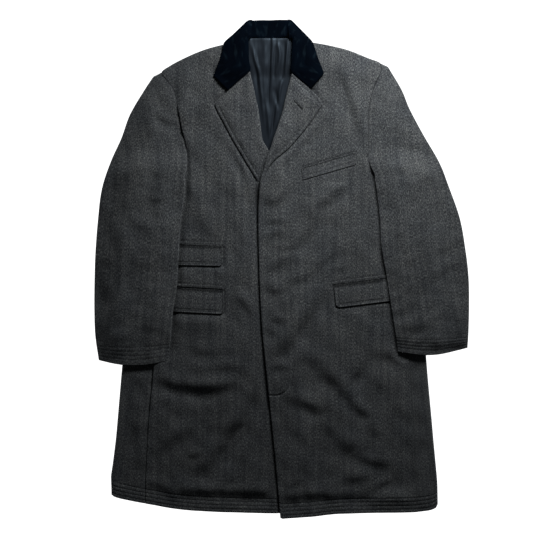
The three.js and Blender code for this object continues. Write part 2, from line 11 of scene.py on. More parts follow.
import bpy
import numpy as np
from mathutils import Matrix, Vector

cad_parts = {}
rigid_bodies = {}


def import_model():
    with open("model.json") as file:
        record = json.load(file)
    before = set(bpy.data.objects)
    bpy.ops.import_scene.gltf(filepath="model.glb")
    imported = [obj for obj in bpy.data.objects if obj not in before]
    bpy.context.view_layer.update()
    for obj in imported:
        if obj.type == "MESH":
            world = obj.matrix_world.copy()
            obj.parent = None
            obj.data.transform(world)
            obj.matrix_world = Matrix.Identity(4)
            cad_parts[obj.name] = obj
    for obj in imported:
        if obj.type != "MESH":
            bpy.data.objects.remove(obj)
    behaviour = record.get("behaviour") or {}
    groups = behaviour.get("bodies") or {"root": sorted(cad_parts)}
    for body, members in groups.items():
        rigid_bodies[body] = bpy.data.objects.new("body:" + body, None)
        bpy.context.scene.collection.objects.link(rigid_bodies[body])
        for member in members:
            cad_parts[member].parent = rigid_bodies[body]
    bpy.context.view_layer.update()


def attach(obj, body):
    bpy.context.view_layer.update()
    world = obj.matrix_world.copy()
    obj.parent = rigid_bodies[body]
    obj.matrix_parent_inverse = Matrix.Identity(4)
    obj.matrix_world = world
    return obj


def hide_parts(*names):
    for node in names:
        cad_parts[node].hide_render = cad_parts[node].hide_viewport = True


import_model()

# Driving sizes of the coat, the same as in its solids
LENGTH = 1020.0
RIGHT_REACH = 359.0
LEFT_REACH = 407.0
WALL = 3.5
SLEEVE_WALL = 3.2
LOFT = 3.8
SEAM = 0.3
LAPEL_WALL = 3.4
COLLAR_WALL = 3.0
FLAP_WALL = 3.0
JET_WALL = 1.6
LINING_WALL = 0.8
BODY_TOP = 2 * WALL + LOFT
SLEEVE_TOP = 2 * SLEEVE_WALL + LOFT
UNDERARM = 690.0
BREAK_POINT = 743.0
UNDERLAP = 58.0
SIDE_TURN = 76.0
SLEEVE_TURN = 16.0
COLLAR_BEND = 2 * COLLAR_WALL + 1.2
CUFF_BOW = 10.0
HEM_EASE = 120.0

# Values of the shells alone
NECK_TOP = 978.0  # where the fronts and backs end at the neck
SLEEVE_LENGTH = 600.0  # along the middle of a sleeve, for its stitching and its cloth coordinates
LEAF_LENGTH = 150.0
STEP = 4.0  # usual distance between neighbouring points of a shell
FINE = 1.3  # the same where rows of stitching run

HEM_STITCHES = [6.5, 14.2, 21.9, 29.6]
CUFF_STITCHES = [10.5, 17.9, 25.3, 32.7]
EDGE_STITCH = 6.6
STITCH_WIDTH = 1.15

Row = namedtuple("Row", "y fold seam")
SIDES = {
    "right": [Row(0, 324, 254), Row(59, 325, 254), Row(173, 314, 249), Row(312, 302, 237), Row(690, 267, 205)],
    "left": [Row(0, 343, 302), Row(59, 342, 298), Row(173, 333, 293), Row(320, 320, 284), Row(690, 296, 232)],
}

Edge = namedtuple("Edge", "y x")
ARMHOLES = {
    "right": [
        Edge(690, 205), Edge(702, 177), Edge(716, 171), Edge(749, 171), Edge(796, 180), Edge(853, 192),
        Edge(874, 198), Edge(896, 211), Edge(911, 221.5), Edge(924, 206), Edge(940, 176), Edge(957, 136),
        Edge(966, 104), Edge(971, 80), Edge(979, 46),
    ],
    "left": [
        Edge(690, 232), Edge(702, 217), Edge(716, 208), Edge(743, 201), Edge(802, 200), Edge(835, 201),
        Edge(862, 206), Edge(886, 214), Edge(918, 226), Edge(930.5, 225), Edge(940, 202), Edge(957, 158),
        Edge(966, 122), Edge(972, 88), Edge(979, 48),
    ],
}
FRONT_EDGE = [
    Edge(0, 21), Edge(88, 14), Edge(192, 4), Edge(296, -7), Edge(400, -17), Edge(510, -22), Edge(611, -24),
    Edge(682, -21), Edge(721, -11), Edge(743, -5),
]
LEFT_ROLL = [Edge(743, -5), Edge(775, 7), Edge(826, 24), Edge(866, 32), Edge(910, 43), Edge(980, 45)]
RIGHT_ROLL = [
    Edge(600, 34), Edge(660, 26), Edge(690, 15), Edge(743, -5), Edge(775, -15), Edge(831, -23), Edge(867, -30),
    Edge(913, -40), Edge(980, -43),
]

Hem = namedtuple("Hem", "x rise")
HEMS = {
    "right": [Hem(-323, 49), Hem(-318, 45), Hem(-285, 37), Hem(-243, 29), Hem(-198, 21), Hem(-149, 16),
              Hem(-75, 13), Hem(16, 11), Hem(90, 11)],
    "left": [Hem(21, 3), Hem(26, 0.5), Hem(34, 1), Hem(89, 5), Hem(141, 10), Hem(220, 12), Hem(284, 13),
             Hem(324, 17), Hem(338, 22), Hem(343, 30)],
}

Lapel = namedtuple("Lapel", "y outer inner")
LAPELS = {
    "right": [
        Lapel(672, -17, -10), Lapel(682, -21.5, -10), Lapel(706, -36, -6), Lapel(730, -51, 0), Lapel(743, -58.5, 0),
        Lapel(776, -78, -15.5), Lapel(810, -96, -20), Lapel(838, -110.5, -24), Lapel(843, -112.5, -25),
        Lapel(848, -112, -26), Lapel(851, -109.5, -27), Lapel(872, -86.5, -31.5), Lapel(892, -64, -36),
        Lapel(912, -43, -40.5),
    ],
    "left": [
        Lapel(684, -19, -21), Lapel(694, -14, -18.5), Lapel(713, -5, -13.2), Lapel(731, 8.5, -8.2),
        Lapel(756, 37, 1), Lapel(778, 57, 8), Lapel(802, 77, 16.5), Lapel(838, 102, 27), Lapel(843, 105.5, 28),
        Lapel(847, 107.5, 28.7), Lapel(850.5, 106, 29.5), Lapel(876, 83.5, 35.5), Lapel(893, 63, 40),
        Lapel(909, 45, 43.5),
    ],
}

Leaf = namedtuple("Leaf", "inner_x inner_y outer_x outer_y")
LEAVES = {
    "right": [
        Leaf(-86.5, 873.5, -115.5, 903), Leaf(-73, 886, -110, 917), Leaf(-55, 902, -105, 930),
        Leaf(-40, 915, -101, 942), Leaf(-42.5, 935, -97, 956), Leaf(-43, 955, -93.5, 971.5),
        Leaf(-43.5, 970, -76, 988), Leaf(-43.5, 978, -59.5, 1004.5), Leaf(-42.5, 979.5, -46, 1017.5),
        Leaf(-38, 979.5, -36, 1019.5),
    ],
    "left": [
        Leaf(83.5, 877.5, 110, 908), Leaf(70, 889, 106, 920), Leaf(55, 902, 101, 932),
        Leaf(43, 912, 97, 943), Leaf(43.5, 932, 93, 956), Leaf(44, 952, 88, 970.5),
        Leaf(45.5, 969, 79, 982), Leaf(45.5, 978, 60.5, 1001.5), Leaf(44, 979.5, 44.5, 1018),
        Leaf(39, 979.5, 36, 1020),
    ],
}

Turn = namedtuple("Turn", "top_x top_y low_x low_y")
NECK_TURN = [
    Turn(-86, 970, -70, 944), Turn(-73, 984, -58, 947), Turn(-57, 1001, -43, 952), Turn(-44, 1015.5, -34, 956),
    Turn(-22, 1018.6, -17, 962), Turn(0, 1018.6, 0, 965), Turn(24, 1019.4, 17, 963), Turn(43, 1017, 34, 957),
    Turn(57.5, 999.5, 44, 952), Turn(73.5, 983, 59, 947), Turn(84, 971, 70, 944),
]

Sleeve = namedtuple("Sleeve", "inner_x inner_y outer_x outer_y")
SLEEVES = {
    "right": [
        Sleeve(220, 912, 238.5, 902.5), Sleeve(200, 876, 257, 875), Sleeve(187, 826, 286, 826),
        Sleeve(178, 780, 304, 777), Sleeve(172, 728, 326, 728), Sleeve(174, 668, 344, 672),
        Sleeve(182, 606, 352, 608), Sleeve(186, 540, 357, 540), Sleeve(190, 474, 359, 474),
        Sleeve(198, 420, 359, 420), Sleeve(202, 376, 357, 372), Sleeve(206, 324, 350, 324),
    ],
    "left": [
        Sleeve(224, 931, 241.5, 922.5), Sleeve(213, 876, 269, 876), Sleeve(203, 838, 285, 838),
        Sleeve(201, 785, 313, 785), Sleeve(206, 728, 346, 728), Sleeve(216, 678, 365, 680),
        Sleeve(224, 612, 388, 614), Sleeve(227, 556, 399, 554), Sleeve(237, 498, 406, 494),
        Sleeve(246, 440, 407, 436), Sleeve(254, 388, 406, 386), Sleeve(261, 342, 404, 349),
    ],
}

# A fold bends through three places. width is how soft it is across, and a lean over 0 makes its left
# flank longer.
Fold = namedtuple("Fold", "start middle end width height lean", defaults=[0.0])
BODY_FOLDS = [
    Fold((-20, 336), (-15, 298), (-9, 250), 6, -3.0),
    Fold((-262, 250), (-256, 180), (-270, 100), 14, 1.6),
    Fold((-84, 740), (-66, 680), (-60, 600), 14, 1.8),
    Fold((-112, 840), (-134, 785), (-150, 735), 12, 1.6),
    Fold((-176, 880), (-160, 900), (-120, 915), 15, 1.8),
    Fold((-160, 700), (-150, 640), (-160, 590), 14, 1.6),
    Fold((212, 640), (180, 590), (120, 560), 18, 1.8),
    Fold((268, 300), (282, 210), (290, 110), 14, 1.8),
    Fold((240, 420), (226, 380), (214, 330), 14, 2.0),
    Fold((100, 950), (150, 930), (206, 905), 15, 1.8),
    Fold((120, 600), (140, 540), (170, 520), 16, 1.8),
    Fold((230, 60), (250, 50), (290, 50), 14, 1.6),
]

# A ledge is higher on the left of its way than on the right, so that the light from the top leaves it dark.
Ledge = namedtuple("Ledge", "start middle end width drop")
LEDGE_STRENGTH = 0.82
BODY_LEDGES = [
    # right skirt
    Ledge((-240, 288), (-150, 264), (-60, 280), 11, 5.4),
    Ledge((-150, 86), (-78, 170), (-12, 312), 13, 6.0),
    Ledge((-230, 128), (-190, 164), (-144, 190), 13, 3.6),
    Ledge((-214, 52), (-100, 53), (18, 44), 9, 3.4),
    Ledge((-258, 74), (-226, 65), (-198, 56), 9, 2.2),
    Ledge((-292, 254), (-276, 180), (-268, 106), 9, 1.6),
    Ledge((-272, 292), (-258, 264), (-242, 246), 8, 1.8),
    Ledge((-168, 124), (-152, 129), (-136, 136), 6, 1.6),
    Ledge((-226, 232), (-212, 238), (-196, 248), 8, 1.2),
    Ledge((-96, 68), (-84, 76), (-70, 84), 6, 1.2),
    Ledge((-60, 326), (-110, 322), (-170, 324), 10, 2.6),
    Ledge((-60, 56), (-10, 52), (20, 50), 10, 2.0),
    Ledge((-130, 190), (-90, 182), (-50, 196), 13, 2.2),
    Ledge((-236, 206), (-262, 206), (-290, 206), 13, 2.0),
    Ledge((-240, 300), (-268, 300), (-290, 296), 10, 1.8),
    # right front
    Ledge((-64, 456), (-48, 436), (-28, 408), 9, 2.4),
    Ledge((-78, 510), (-70, 440), (-72, 350), 8, 1.2),
    Ledge((-148, 632), (-134, 598), (-104, 566), 9, 1.4),
    Ledge((-66, 568), (-48, 562), (-34, 546), 8, 1.6),
    Ledge((-78, 762), (-54, 704), (-34, 640), 8, 3.6),
    Ledge((-176, 930), (-188, 856), (-178, 770), 10, 2.6),
    Ledge((-174, 776), (-160, 814), (-142, 852), 8, 3.6),
    Ledge((-140, 800), (-134, 826), (-126, 850), 6, 1.2),
    # left front down to the fly
    Ledge((18, 328), (66, 398), (112, 470), 12, 6.0),
    Ledge((46, 550), (84, 592), (104, 650), 11, 5.4),
    Ledge((88, 634), (118, 650), (164, 690), 10, 3.6),
    Ledge((22, 486), (58, 486), (98, 512), 9, 2.8),
    Ledge((82, 514), (118, 528), (154, 554), 9, 2.0),
    Ledge((-14, 640), (18, 650), (46, 690), 8, 2.8),
    Ledge((-18, 600), (6, 604), (36, 606), 6, 1.8),
    Ledge((-24, 576), (-2, 578), (26, 584), 7, 2.6),
    Ledge((12, 556), (34, 551), (62, 560), 6, 1.5),
    Ledge((-26, 500), (4, 510), (42, 538), 9, 3.0),
    Ledge((-10, 456), (14, 463), (48, 470), 8, 2.2),
    Ledge((-8, 408), (14, 405), (38, 400), 7, 1.5),
    Ledge((-4, 306), (20, 309), (44, 304), 7, 1.6),
    # left skirt
    Ledge((48, 328), (108, 304), (158, 240), 13, 4.2),
    Ledge((148, 264), (176, 226), (206, 206), 9, 3.0),
    Ledge((28, 242), (68, 233), (98, 210), 11, 2.8),
    Ledge((94, 196), (146, 154), (184, 126), 14, 3.4),
    Ledge((168, 132), (204, 115), (246, 108), 9, 2.6),
    Ledge((134, 66), (172, 79), (216, 88), 9, 1.8),
    Ledge((16, 38), (104, 47), (210, 42), 9, 3.0),
    Ledge((212, 54), (230, 68), (250, 76), 7, 2.0),
    Ledge((166, 294), (190, 312), (204, 410), 9, 2.2),
    Ledge((194, 194), (210, 178), (226, 164), 9, 1.8),
    Ledge((36, 60), (52, 70), (72, 78), 8, 1.4),
    Ledge((112, 60), (126, 66), (142, 64), 7, 1.4),
    Ledge((60, 236), (95, 226), (140, 230), 14, 2.2),
    Ledge((60, 300), (100, 286), (140, 280), 12, 2.0),
    Ledge((110, 150), (150, 142), (190, 150), 14, 1.8),
    Ledge((300, 56), (250, 52), (200, 54), 12, 2.8),
    Ledge((196, 440), (226, 428), (256, 424), 12, 3.0),
    Ledge((210, 336), (250, 328), (270, 322), 11, 2.6),
    # left chest and side
    Ledge((14, 714), (64, 762), (106, 822), 9, 3.4),
    Ledge((206, 640), (212, 590), (216, 520), 9, 2.8),
    Ledge((90, 900), (140, 895), (196, 880), 26, 3.0),
    Ledge((144, 916), (163, 852), (188, 776), 9, 4.6),
    Ledge((198, 806), (190, 742), (198, 676), 12, 4.8),
    Ledge((212, 890), (202, 850), (200, 800), 7, 1.6),
]
SLEEVE_LEDGES = [
    Ledge((-234, 830), (-214, 811), (-190, 812), 7, 3.2),
    Ledge((-262, 718), (-242, 768), (-226, 804), 8, 2.0),
    Ledge((-290, 612), (-266, 594), (-238, 588), 9, 1.3),
    Ledge((-280, 424), (-256, 399), (-226, 392), 12, 1.4),
    Ledge((-246, 646), (-224, 650), (-198, 658), 6, 1.0),
    Ledge((-352, 500), (-338, 470), (-320, 440), 10, 1.1),
    Ledge((-292, 560), (-270, 520), (-236, 506), 10, 1.1),
    Ledge((-340, 640), (-316, 590), (-306, 530), 10, 1.0),
    Ledge((-352, 352), (-330, 338), (-300, 342), 9, 0.8),
    Ledge((-262, 876), (-252, 850), (-246, 820), 8, 1.0),
    Ledge((338, 540), (364, 552), (396, 574), 7, 1.8),
    Ledge((318, 424), (336, 450), (354, 474), 9, 1.4),
    Ledge((256, 408), (274, 424), (298, 442), 8, 1.7),
    Ledge((332, 490), (352, 500), (374, 520), 9, 1.2),
    Ledge((270, 580), (276, 540), (284, 500), 8, 1.1),
    Ledge((296, 600), (304, 560), (312, 620), 8, 1.0),
    Ledge((312, 694), (326, 688), (342, 670), 8, 1.1),
    Ledge((206, 868), (222, 862), (240, 850), 7, 1.1),
    Ledge((352, 380), (372, 366), (392, 356), 9, 1.1),
    Ledge((246, 660), (256, 630), (262, 596), 8, 1.2),
    Ledge((360, 372), (300, 372), (258, 366), 12, 2.2),
    Ledge((330, 352), (360, 350), (400, 352), 8, 1.8),
    Ledge((-290, 386), (-310, 384), (-335, 380), 12, 2.0),
    Ledge((250, 770), (290, 762), (340, 744), 16, 2.2),
    Ledge((-290, 600), (-270, 596), (-245, 590), 14, 1.6),
]

# Where the hidden buttons pull the fly: their height, and how far they are from its edge.
PUCKERS = [(640, 16), (556, 20), (462, 18), (372, 17)]

SLEEVE_FOLDS = [
    Fold((-256, 868), (-240, 800), (-234, 700), 16, 2.6, 0.2),
    Fold((-262, 760), (-270, 700), (-262, 640), 16, 1.6),
    Fold((-216, 720), (-222, 640), (-214, 560), 14, 2.2),
    Fold((-322, 640), (-330, 560), (-326, 450), 16, 1.8),
    Fold((-236, 480), (-226, 430), (-234, 384), 14, 1.8),
    Fold((-300, 420), (-310, 390), (-306, 364), 12, 1.4),
    Fold((246, 900), (247, 820), (242, 700), 13, 3.0),
    Fold((278, 860), (276, 790), (274, 690), 12, -1.6),
    Fold((272, 660), (276, 620), (270, 556), 13, 2.4),
    Fold((310, 760), (318, 700), (330, 640), 15, 1.8),
    Fold((330, 600), (336, 560), (338, 520), 14, 1.6),
    Fold((268, 404), (300, 396), (340, 400), 14, 2.0),
    Fold((372, 470), (380, 420), (376, 376), 14, 1.6),
]

LINING_FOLDS = [
    Fold((1.5, 990), (-0.5, 930), (-3, 850), 1.4, -1.8),
    Fold((7, 990), (6, 930), (2, 850), 4.5, 1.4),
    Fold((-8, 990), (-12, 920), (-12, 850), 5.5, 1.5),
    Fold((-44, 985), (-36, 955), (-22, 905), 3.2, 3.0),
    Fold((-22, 925), (-20, 880), (-12, 800), 4.0, 2.2),
    Fold((-36, 940), (-28, 905), (-22, 850), 4.0, -1.6),
    Fold((14, 972), (20, 945), (12, 905), 3.4, 2.2),
    Fold((10, 965), (9, 935), (8, 900), 2.4, -1.4),
    Fold((40, 985), (36, 955), (31, 905), 3.2, 2.8),
    Fold((30, 975), (28, 935), (22, 890), 3.0, -1.6),
    Fold((24, 900), (18, 860), (10, 800), 3.6, 2.0),
    Fold((8, 880), (14, 858), (18, 836), 3.2, -1.8),
    Fold((-10, 860), (-4, 820), (0, 776), 4.0, 1.4),
    Fold((10, 840), (6, 810), (4, 780), 2.4, -1.4),
]

Pocket = namedtuple("Pocket", "name x0 y0 x1 y1 drop wall")
POCKETS = [
    Pocket("ticket_flap", -232, 559, -96.5, 556, 40, FLAP_WALL),
    Pocket("ticket_jet", -232, 567.5, -97.5, 563, 6.5, JET_WALL),
    Pocket("right_hip_flap", -232, 474, -94, 467, 49, FLAP_WALL),
    Pocket("right_hip_jet", -232, 482.5, -95, 474.5, 6.0, JET_WALL),
    Pocket("left_hip_flap", 130, 477, 268, 494, 46, FLAP_WALL),
    Pocket("left_hip_jet", 130, 484.5, 268, 501.5, 6.5, JET_WALL),
    Pocket("breast_welt", 65, 717, 175.5, 749, 25.5, 1.0),
]
FLAP_CORNER = 9.0
LEFT_FLAP_SLANT = 0.11  # how far the ends of the left hip flap lean outwards on their way down
WELT_SLANT = 0.045


def to_row(points):
    """Drawing millimetres to metres in the row frame."""
    shift = np.array([(RIGHT_REACH - LEFT_REACH) / 2, -LENGTH / 2, 0.0])
    return (np.asarray(points, dtype=float) + shift) * 0.001


def ease(low, high, value):
    """Rises softly from 0 at low to 1 at high."""
    t = np.clip((np.asarray(value, dtype=float) - low) / (high - low), 0.0, 1.0)
    return t * t * (3 - 2 * t)


def bell(distance, width):
    """1 at a distance of 0, dying out softly over about twice the width."""
    return np.exp(-(distance / width) ** 2)


def quarter_round(part):
    """1 at the start of a rounded edge and 0 from its end on, along a quarter of a circle."""
    return 1 - np.sqrt(np.clip(1 - (1 - np.clip(part, 0, 1)) ** 2, 0, 1))


def read(table, key, column, at):
    """A column of a table between its rows, along a curve that doesn't overshoot them."""
    xs = np.array([getattr(row, key) for row in table], dtype=float)
    ys = np.array([getattr(row, column) for row in table], dtype=float)
    steps = np.diff(xs)
    slopes = np.diff(ys) / steps
    tangents = np.zeros(len(xs))
    tangents[0], tangents[-1] = slopes[0], slopes[-1]
    product = slopes[:-1] * slopes[1:]
    total = slopes[:-1] + slopes[1:]
    tangents[1:-1] = np.where(product > 0, 2 * product / np.where(total == 0, 1, total), 0)
    at = np.clip(np.asarray(at, dtype=float), xs[0], xs[-1])
    row = np.clip(np.searchsorted(xs, at, side="right") - 1, 0, len(xs) - 2)
    span = steps[row]
    t = (at - xs[row]) / span
    start = ys[row] * (1 + 2 * t) * (1 - t) ** 2 + tangents[row] * span * t * (1 - t) ** 2
    return start + ys[row + 1] * t * t * (3 - 2 * t) - tangents[row + 1] * span * t * t * (1 - t)


def smooth_path(points, count):
    """A Catmull-Rom curve through the points, read at evenly spaced parameters."""
    points = np.asarray(points, dtype=float)
    ends = np.vstack([2 * points[0] - points[1], points, 2 * points[-1] - points[-2]])
    at = np.linspace(0, len(points) - 1, count)
    row = np.minimum(at.astype(int), len(points) - 2)
    t = (at - row)[:, None]
    a, b, c, d = ends[row], ends[row + 1], ends[row + 2], ends[row + 3]
    return 0.5 * (2 * b + (c - a) * t + (2 * a - 5 * b + 4 * c - d) * t ** 2 + (3 * b - a - 3 * c + d) * t ** 3)


def place_by_line(line, x, y):
    """How far each place is to the left of a line of points, and which part of the line it is by."""
    nearest = np.full(x.shape, 1e9)
    aside = np.zeros(x.shape)
    along = np.zeros(x.shape)
    for i in range(len(line) - 1):
        step = line[i + 1] - line[i]
        length = np.hypot(*step)
        part = np.clip(((x - line[i, 0]) * step[0] + (y - line[i, 1]) * step[1]) / length ** 2, 0, 1)
        dx = x - line[i, 0] - part * step[0]
        dy = y - line[i, 1] - part * step[1]
        distance = np.hypot(dx, dy)
        closer = distance < nearest
        nearest = np.where(closer, distance, nearest)
        side = np.sign(step[0] * dy - step[1] * dx)
        aside = np.where(closer, side * distance, aside)
        along = np.where(closer, (i + part) / (len(line) - 1), along)
    return aside, along


def fold_height(folds, x, y):
    """What a list of folds or ledges adds: each is soft across, and dies out at both ends."""
    height = np.zeros(np.shape(x))
    t = np.linspace(0, 1, 19)[:, None]
    for fold in folds:
        start, middle, end = (np.array(p, dtype=float) for p in (fold.start, fold.middle, fold.end))
        reach = 3.2 * fold.width
        low = np.minimum(np.minimum(start, middle), end) - reach
        high = np.maximum(np.maximum(start, middle), end) + reach
        near = (x > low[0]) & (x < high[0]) & (y > low[1]) & (y < high[1])
        if not near.any():
            continue
        pull = 2 * middle - (start + end) / 2
        line = start * (1 - t) ** 2 + 2 * pull * t * (1 - t) + end * t ** 2
        aside, along = place_by_line(line, x[near], y[near])
        fade = np.sin(np.pi * np.clip(along, 0.0, 1.0)) ** 0.6
        if isinstance(fold, Ledge):
            u = aside / (1.15 * fold.width)
            height[near] += LEDGE_STRENGTH * fold.drop * u * np.exp(0.5 - 0.5 * u ** 2) * fade
        else:
            width = fold.width * (1 + fold.lean * np.sign(aside))
            height[near] += fold.height * np.exp(-0.8 * (aside / width) ** 2) * fade
    return height


class Unevenness:
    """Soft seeded swells, so that no stretch of cloth is perfectly flat."""

    def __init__(self, seed, wavelength, count=26):
        rng = np.random.default_rng(seed)
        angle = rng.uniform(0, 2 * np.pi, count)
        length = wavelength * rng.uniform(0.6, 2.2, count)
        self.kx = 2 * np.pi * np.cos(angle) / length
        self.ky = 2 * np.pi * np.sin(angle) / length
        self.phase = rng.uniform(0, 2 * np.pi, count)
        self.scale = 1 / math.sqrt(count / 2)

    def at(self, x, y):
        total = np.zeros(np.shape(x))
        for kx, ky, phase in zip(self.kx, self.ky, self.phase):
            total += np.sin(kx * x + ky * y + phase)
        return total * self.scale


BODY_SWELL = Unevenness(11, 90.0)
BODY_RIPPLE = Unevenness(12, 34.0)
SLEEVE_SWELL = Unevenness(13, 80.0)
SLEEVE_RIPPLE = Unevenness(14, 30.0)
LINING_RIPPLE = Unevenness(15, 16.0)


def neck_lift(x, y):
    """The body lies a little higher behind the neck, where the collar's fall is under it."""
    return (COLLAR_WALL + SEAM) * ease(900, 932, y) * (1 - ease(104, 150, np.abs(x)))


def past_lapel(side, x, y):
    """How far a place is beyond the free edge of its lapel, towards the sleeve."""
    sign = -1 if side == "right" else 1
    return sign * (x - read(LAPELS[side], "y", "outer", y))


def inner_edge(side, y):
    """How far from the middle the body side of a sleeve lies at a height."""
    return read(SLEEVES[side][::-1], "inner_y", "inner_x", y)


def open_cloth(side, x, y):
    """1 where a front's cloth is in the open, and less under its lapel, pockets and sleeve."""
    open_part = np.ones(np.shape(x))
    for pocket in POCKETS:
        low = min(pocket.y0, pocket.y1) - pocket.drop
        beyond_x = np.maximum(np.maximum(pocket.x0 - x, x - pocket.x1), 0)
        beyond_y = np.maximum(np.maximum(low - y, y - max(pocket.y0, pocket.y1)), 0)
        open_part = open_part * (0.25 + 0.75 * ease(2, 16, np.hypot(beyond_x, beyond_y)))
    open_part = open_part * np.where(y > 680, ease(0, 14, past_lapel(side, x, y)), 1.0)
    covered = (y > 322) & (y < 742)
    return open_part * np.where(covered, ease(-2, 16, inner_edge(side, y) - np.abs(x)), 1.0)


def beside_sleeve(side, x, y):
    """The body sinks a little along the sleeve that lies on it."""
    beyond = np.maximum(inner_edge(side, y) - np.abs(x), 0)
    top = 830 if side == "right" else 760
    return 5.6 * bell(beyond, 7.5) * ease(318, 350, y) * (1 - ease(top - 110, top, y))


def beside_lapel(side, x, y):
    """The front sinks a little along the free edge of its lapel."""
    beyond = np.maximum(past_lapel(side, x, y), 0)
    depth, reach = (2.0, 2.2) if side == "right" else (3.4, 15.0)
    upper = ease(836, 858, y)
    depth = depth + (2.4 - depth) * upper
    reach = reach + (7.0 - reach) * upper
    return depth * bell(beyond, reach) * ease(676, 720, y) * (1 - ease(900, 912, y))


def round_pockets(x, y):
    """The front sinks a little round its pockets, so that their edges stand clear."""
    sink = np.zeros(np.shape(x))
    for pocket in POCKETS:
        length = pocket.x1 - pocket.x0
        across = x - pocket.x0
        down = pocket.y0 + (pocket.y1 - pocket.y0) / length * across - y
        if pocket.name == "left_hip_flap":
            across = across - LEFT_FLAP_SLANT * down
        sideways = np.maximum(np.maximum(-across, across - length), 0)
        above = np.maximum(-down, 0)
        below = np.maximum(down - pocket.drop, 0)
        if pocket.name.endswith("jet"):
            depth, reach, beyond, shown = 1.3, 2.4, np.hypot(sideways, above), 1 - ease(0, 5, down)
        elif pocket.name.endswith("flap"):
            depth, reach, beyond, shown = 3.2, 3.6, np.hypot(sideways, below), ease(-6, 4, down)
        else:
            depth = 0.8 + 1.1 * (1 - ease(0, pocket.drop, down))
            reach, beyond, shown = 1.9, np.hypot(sideways, above + below), 1.0
        sink = np.maximum(sink, depth * bell(beyond, reach) * shown)
    return sink


def shoulder_line(side, x):
    """The height of the shoulder seam at a distance from the neck's centre."""
    rows = [row for row in ARMHOLES[side] if row.y > 904][1:]
    points = [Edge(-row.x, row.y) for row in rows]
    return read(points, "y", "x", -np.abs(x))


def shoulder_drop(side, x, y):
    """A front comes down on to the back along the shoulder seam, in a soft round."""
    full = np.where(y > 880, quarter_round((shoulder_line(side, x) - y) / 24.0), 0.0)
    return (LOFT - 2 * SEAM) * full


def underlap_edge(y):
    """The right front's own edge under the left one, which runs into the roll of its lapel."""
    hidden = read(FRONT_EDGE, "y", "x", y) + UNDERLAP
    rolled = ease(560, 660, y)
    return (1 - rolled) * hidden + rolled * read(RIGHT_ROLL, "y", "x", y)


def dart(x, y, x0, y0, y1):
    """A sewn dart is a fine valley that dies out at both ends."""
    return -1.3 * bell(x - x0, 2.2) * ease(y0, y0 + 14, y) * (1 - ease(y1 - 14, y1, y))


def hem_ridges(above):
    """Rows of stitching press valleys into the cloth, so that soft ridges stand between them."""
    height = np.zeros(np.shape(above))
    for line in HEM_STITCHES:
        height -= 0.85 * bell(above - line, STITCH_WIDTH)
    return height


def fullness(x, y):
    """The air that the lower fronts hold: a broad, low mound over the hips."""
    return 13.0 * np.exp(-((y - 400) / 190) ** 2 - ((x + 22) / 195) ** 2)


def cloth_swell(x, y):
    """The slight unevenness of the body's cloth."""
    return 0.9 * BODY_SWELL.at(x, y) + 0.42 * BODY_RIPPLE.at(x, y)


def body_folds(side, x, y):
    """The folds of a front where its cloth is in the open. The deepest valleys stay above its back."""
    folds = fold_height(BODY_FOLDS + BODY_LEDGES, x, y) + cloth_swell(x, y)
    return (np.maximum(folds, -4.4) + 1.2) * open_cloth(side, x, y)


def right_front_top(x, y):
    """The height of the right front's outside. Under the left front it lies plain."""
    edge = read(FRONT_EDGE, "y", "x", y)
    shown = 1 - ease(-34, -8, x - edge)
    folds = body_folds("right", x, y) * shown - beside_sleeve("right", x, y) - beside_lapel("right", x, y)
    beyond = np.maximum(edge - x, 0)
    folds -= 3.6 * bell(beyond, 4.2) * (1 - ease(640, 670, y))
    folds -= 2.6 * np.exp(-(beyond / 9.0) ** 2 - ((y - 262) / 42) ** 2)
    folds += dart(x, y, -114.5, 468, 662) - round_pockets(x, y)
    top = BODY_TOP + fullness(x, y) + folds - shoulder_drop("right", x, y)
    return neck_lift(x, y) + np.maximum(top, 2 * WALL + SEAM)


def fly_puckers(x, y):
    """Short valleys with a ridge above each, where the hidden buttons pull the fly."""
    reach = x - read(FRONT_EDGE, "y", "x", y)
    height = np.zeros(np.shape(x))
    for place, depth in PUCKERS:
        height -= 1.9 * np.exp(-((y - place) / 11) ** 2 - ((reach - depth) / 14) ** 2)
        height += 1.3 * np.exp(-((y - place - 22) / 14) ** 2 - ((reach - depth) / 18) ** 2)
    return height


def fly_stitching(x, y):
    """The fly's stitching runs down the front and turns to the edge in a J."""
    bend_x, bend_y, radius = 8.0, 288.0, 36.0
    distance = np.abs(np.hypot((x - bend_x) / 1.02, (y - bend_y)) - radius)
    arc = (y < bend_y) & (x > -2)
    straight = np.abs(x - (bend_x + radius + (y - bend_y) * 0.12))
    groove = np.where(arc, distance, np.where(y >= bend_y, straight, 99.0))
    strength = np.where(y < bend_y + 20, 1.0, 0.45) * (y < 650)
    return -1.3 * bell(groove, 1.7) * strength


def left_edge(y):
    """The left front's own edge, up the fly and on along the roll of its lapel."""
    return np.where(y < BREAK_POINT, read(FRONT_EDGE, "y", "x", y), read(LEFT_ROLL, "y", "x", y))


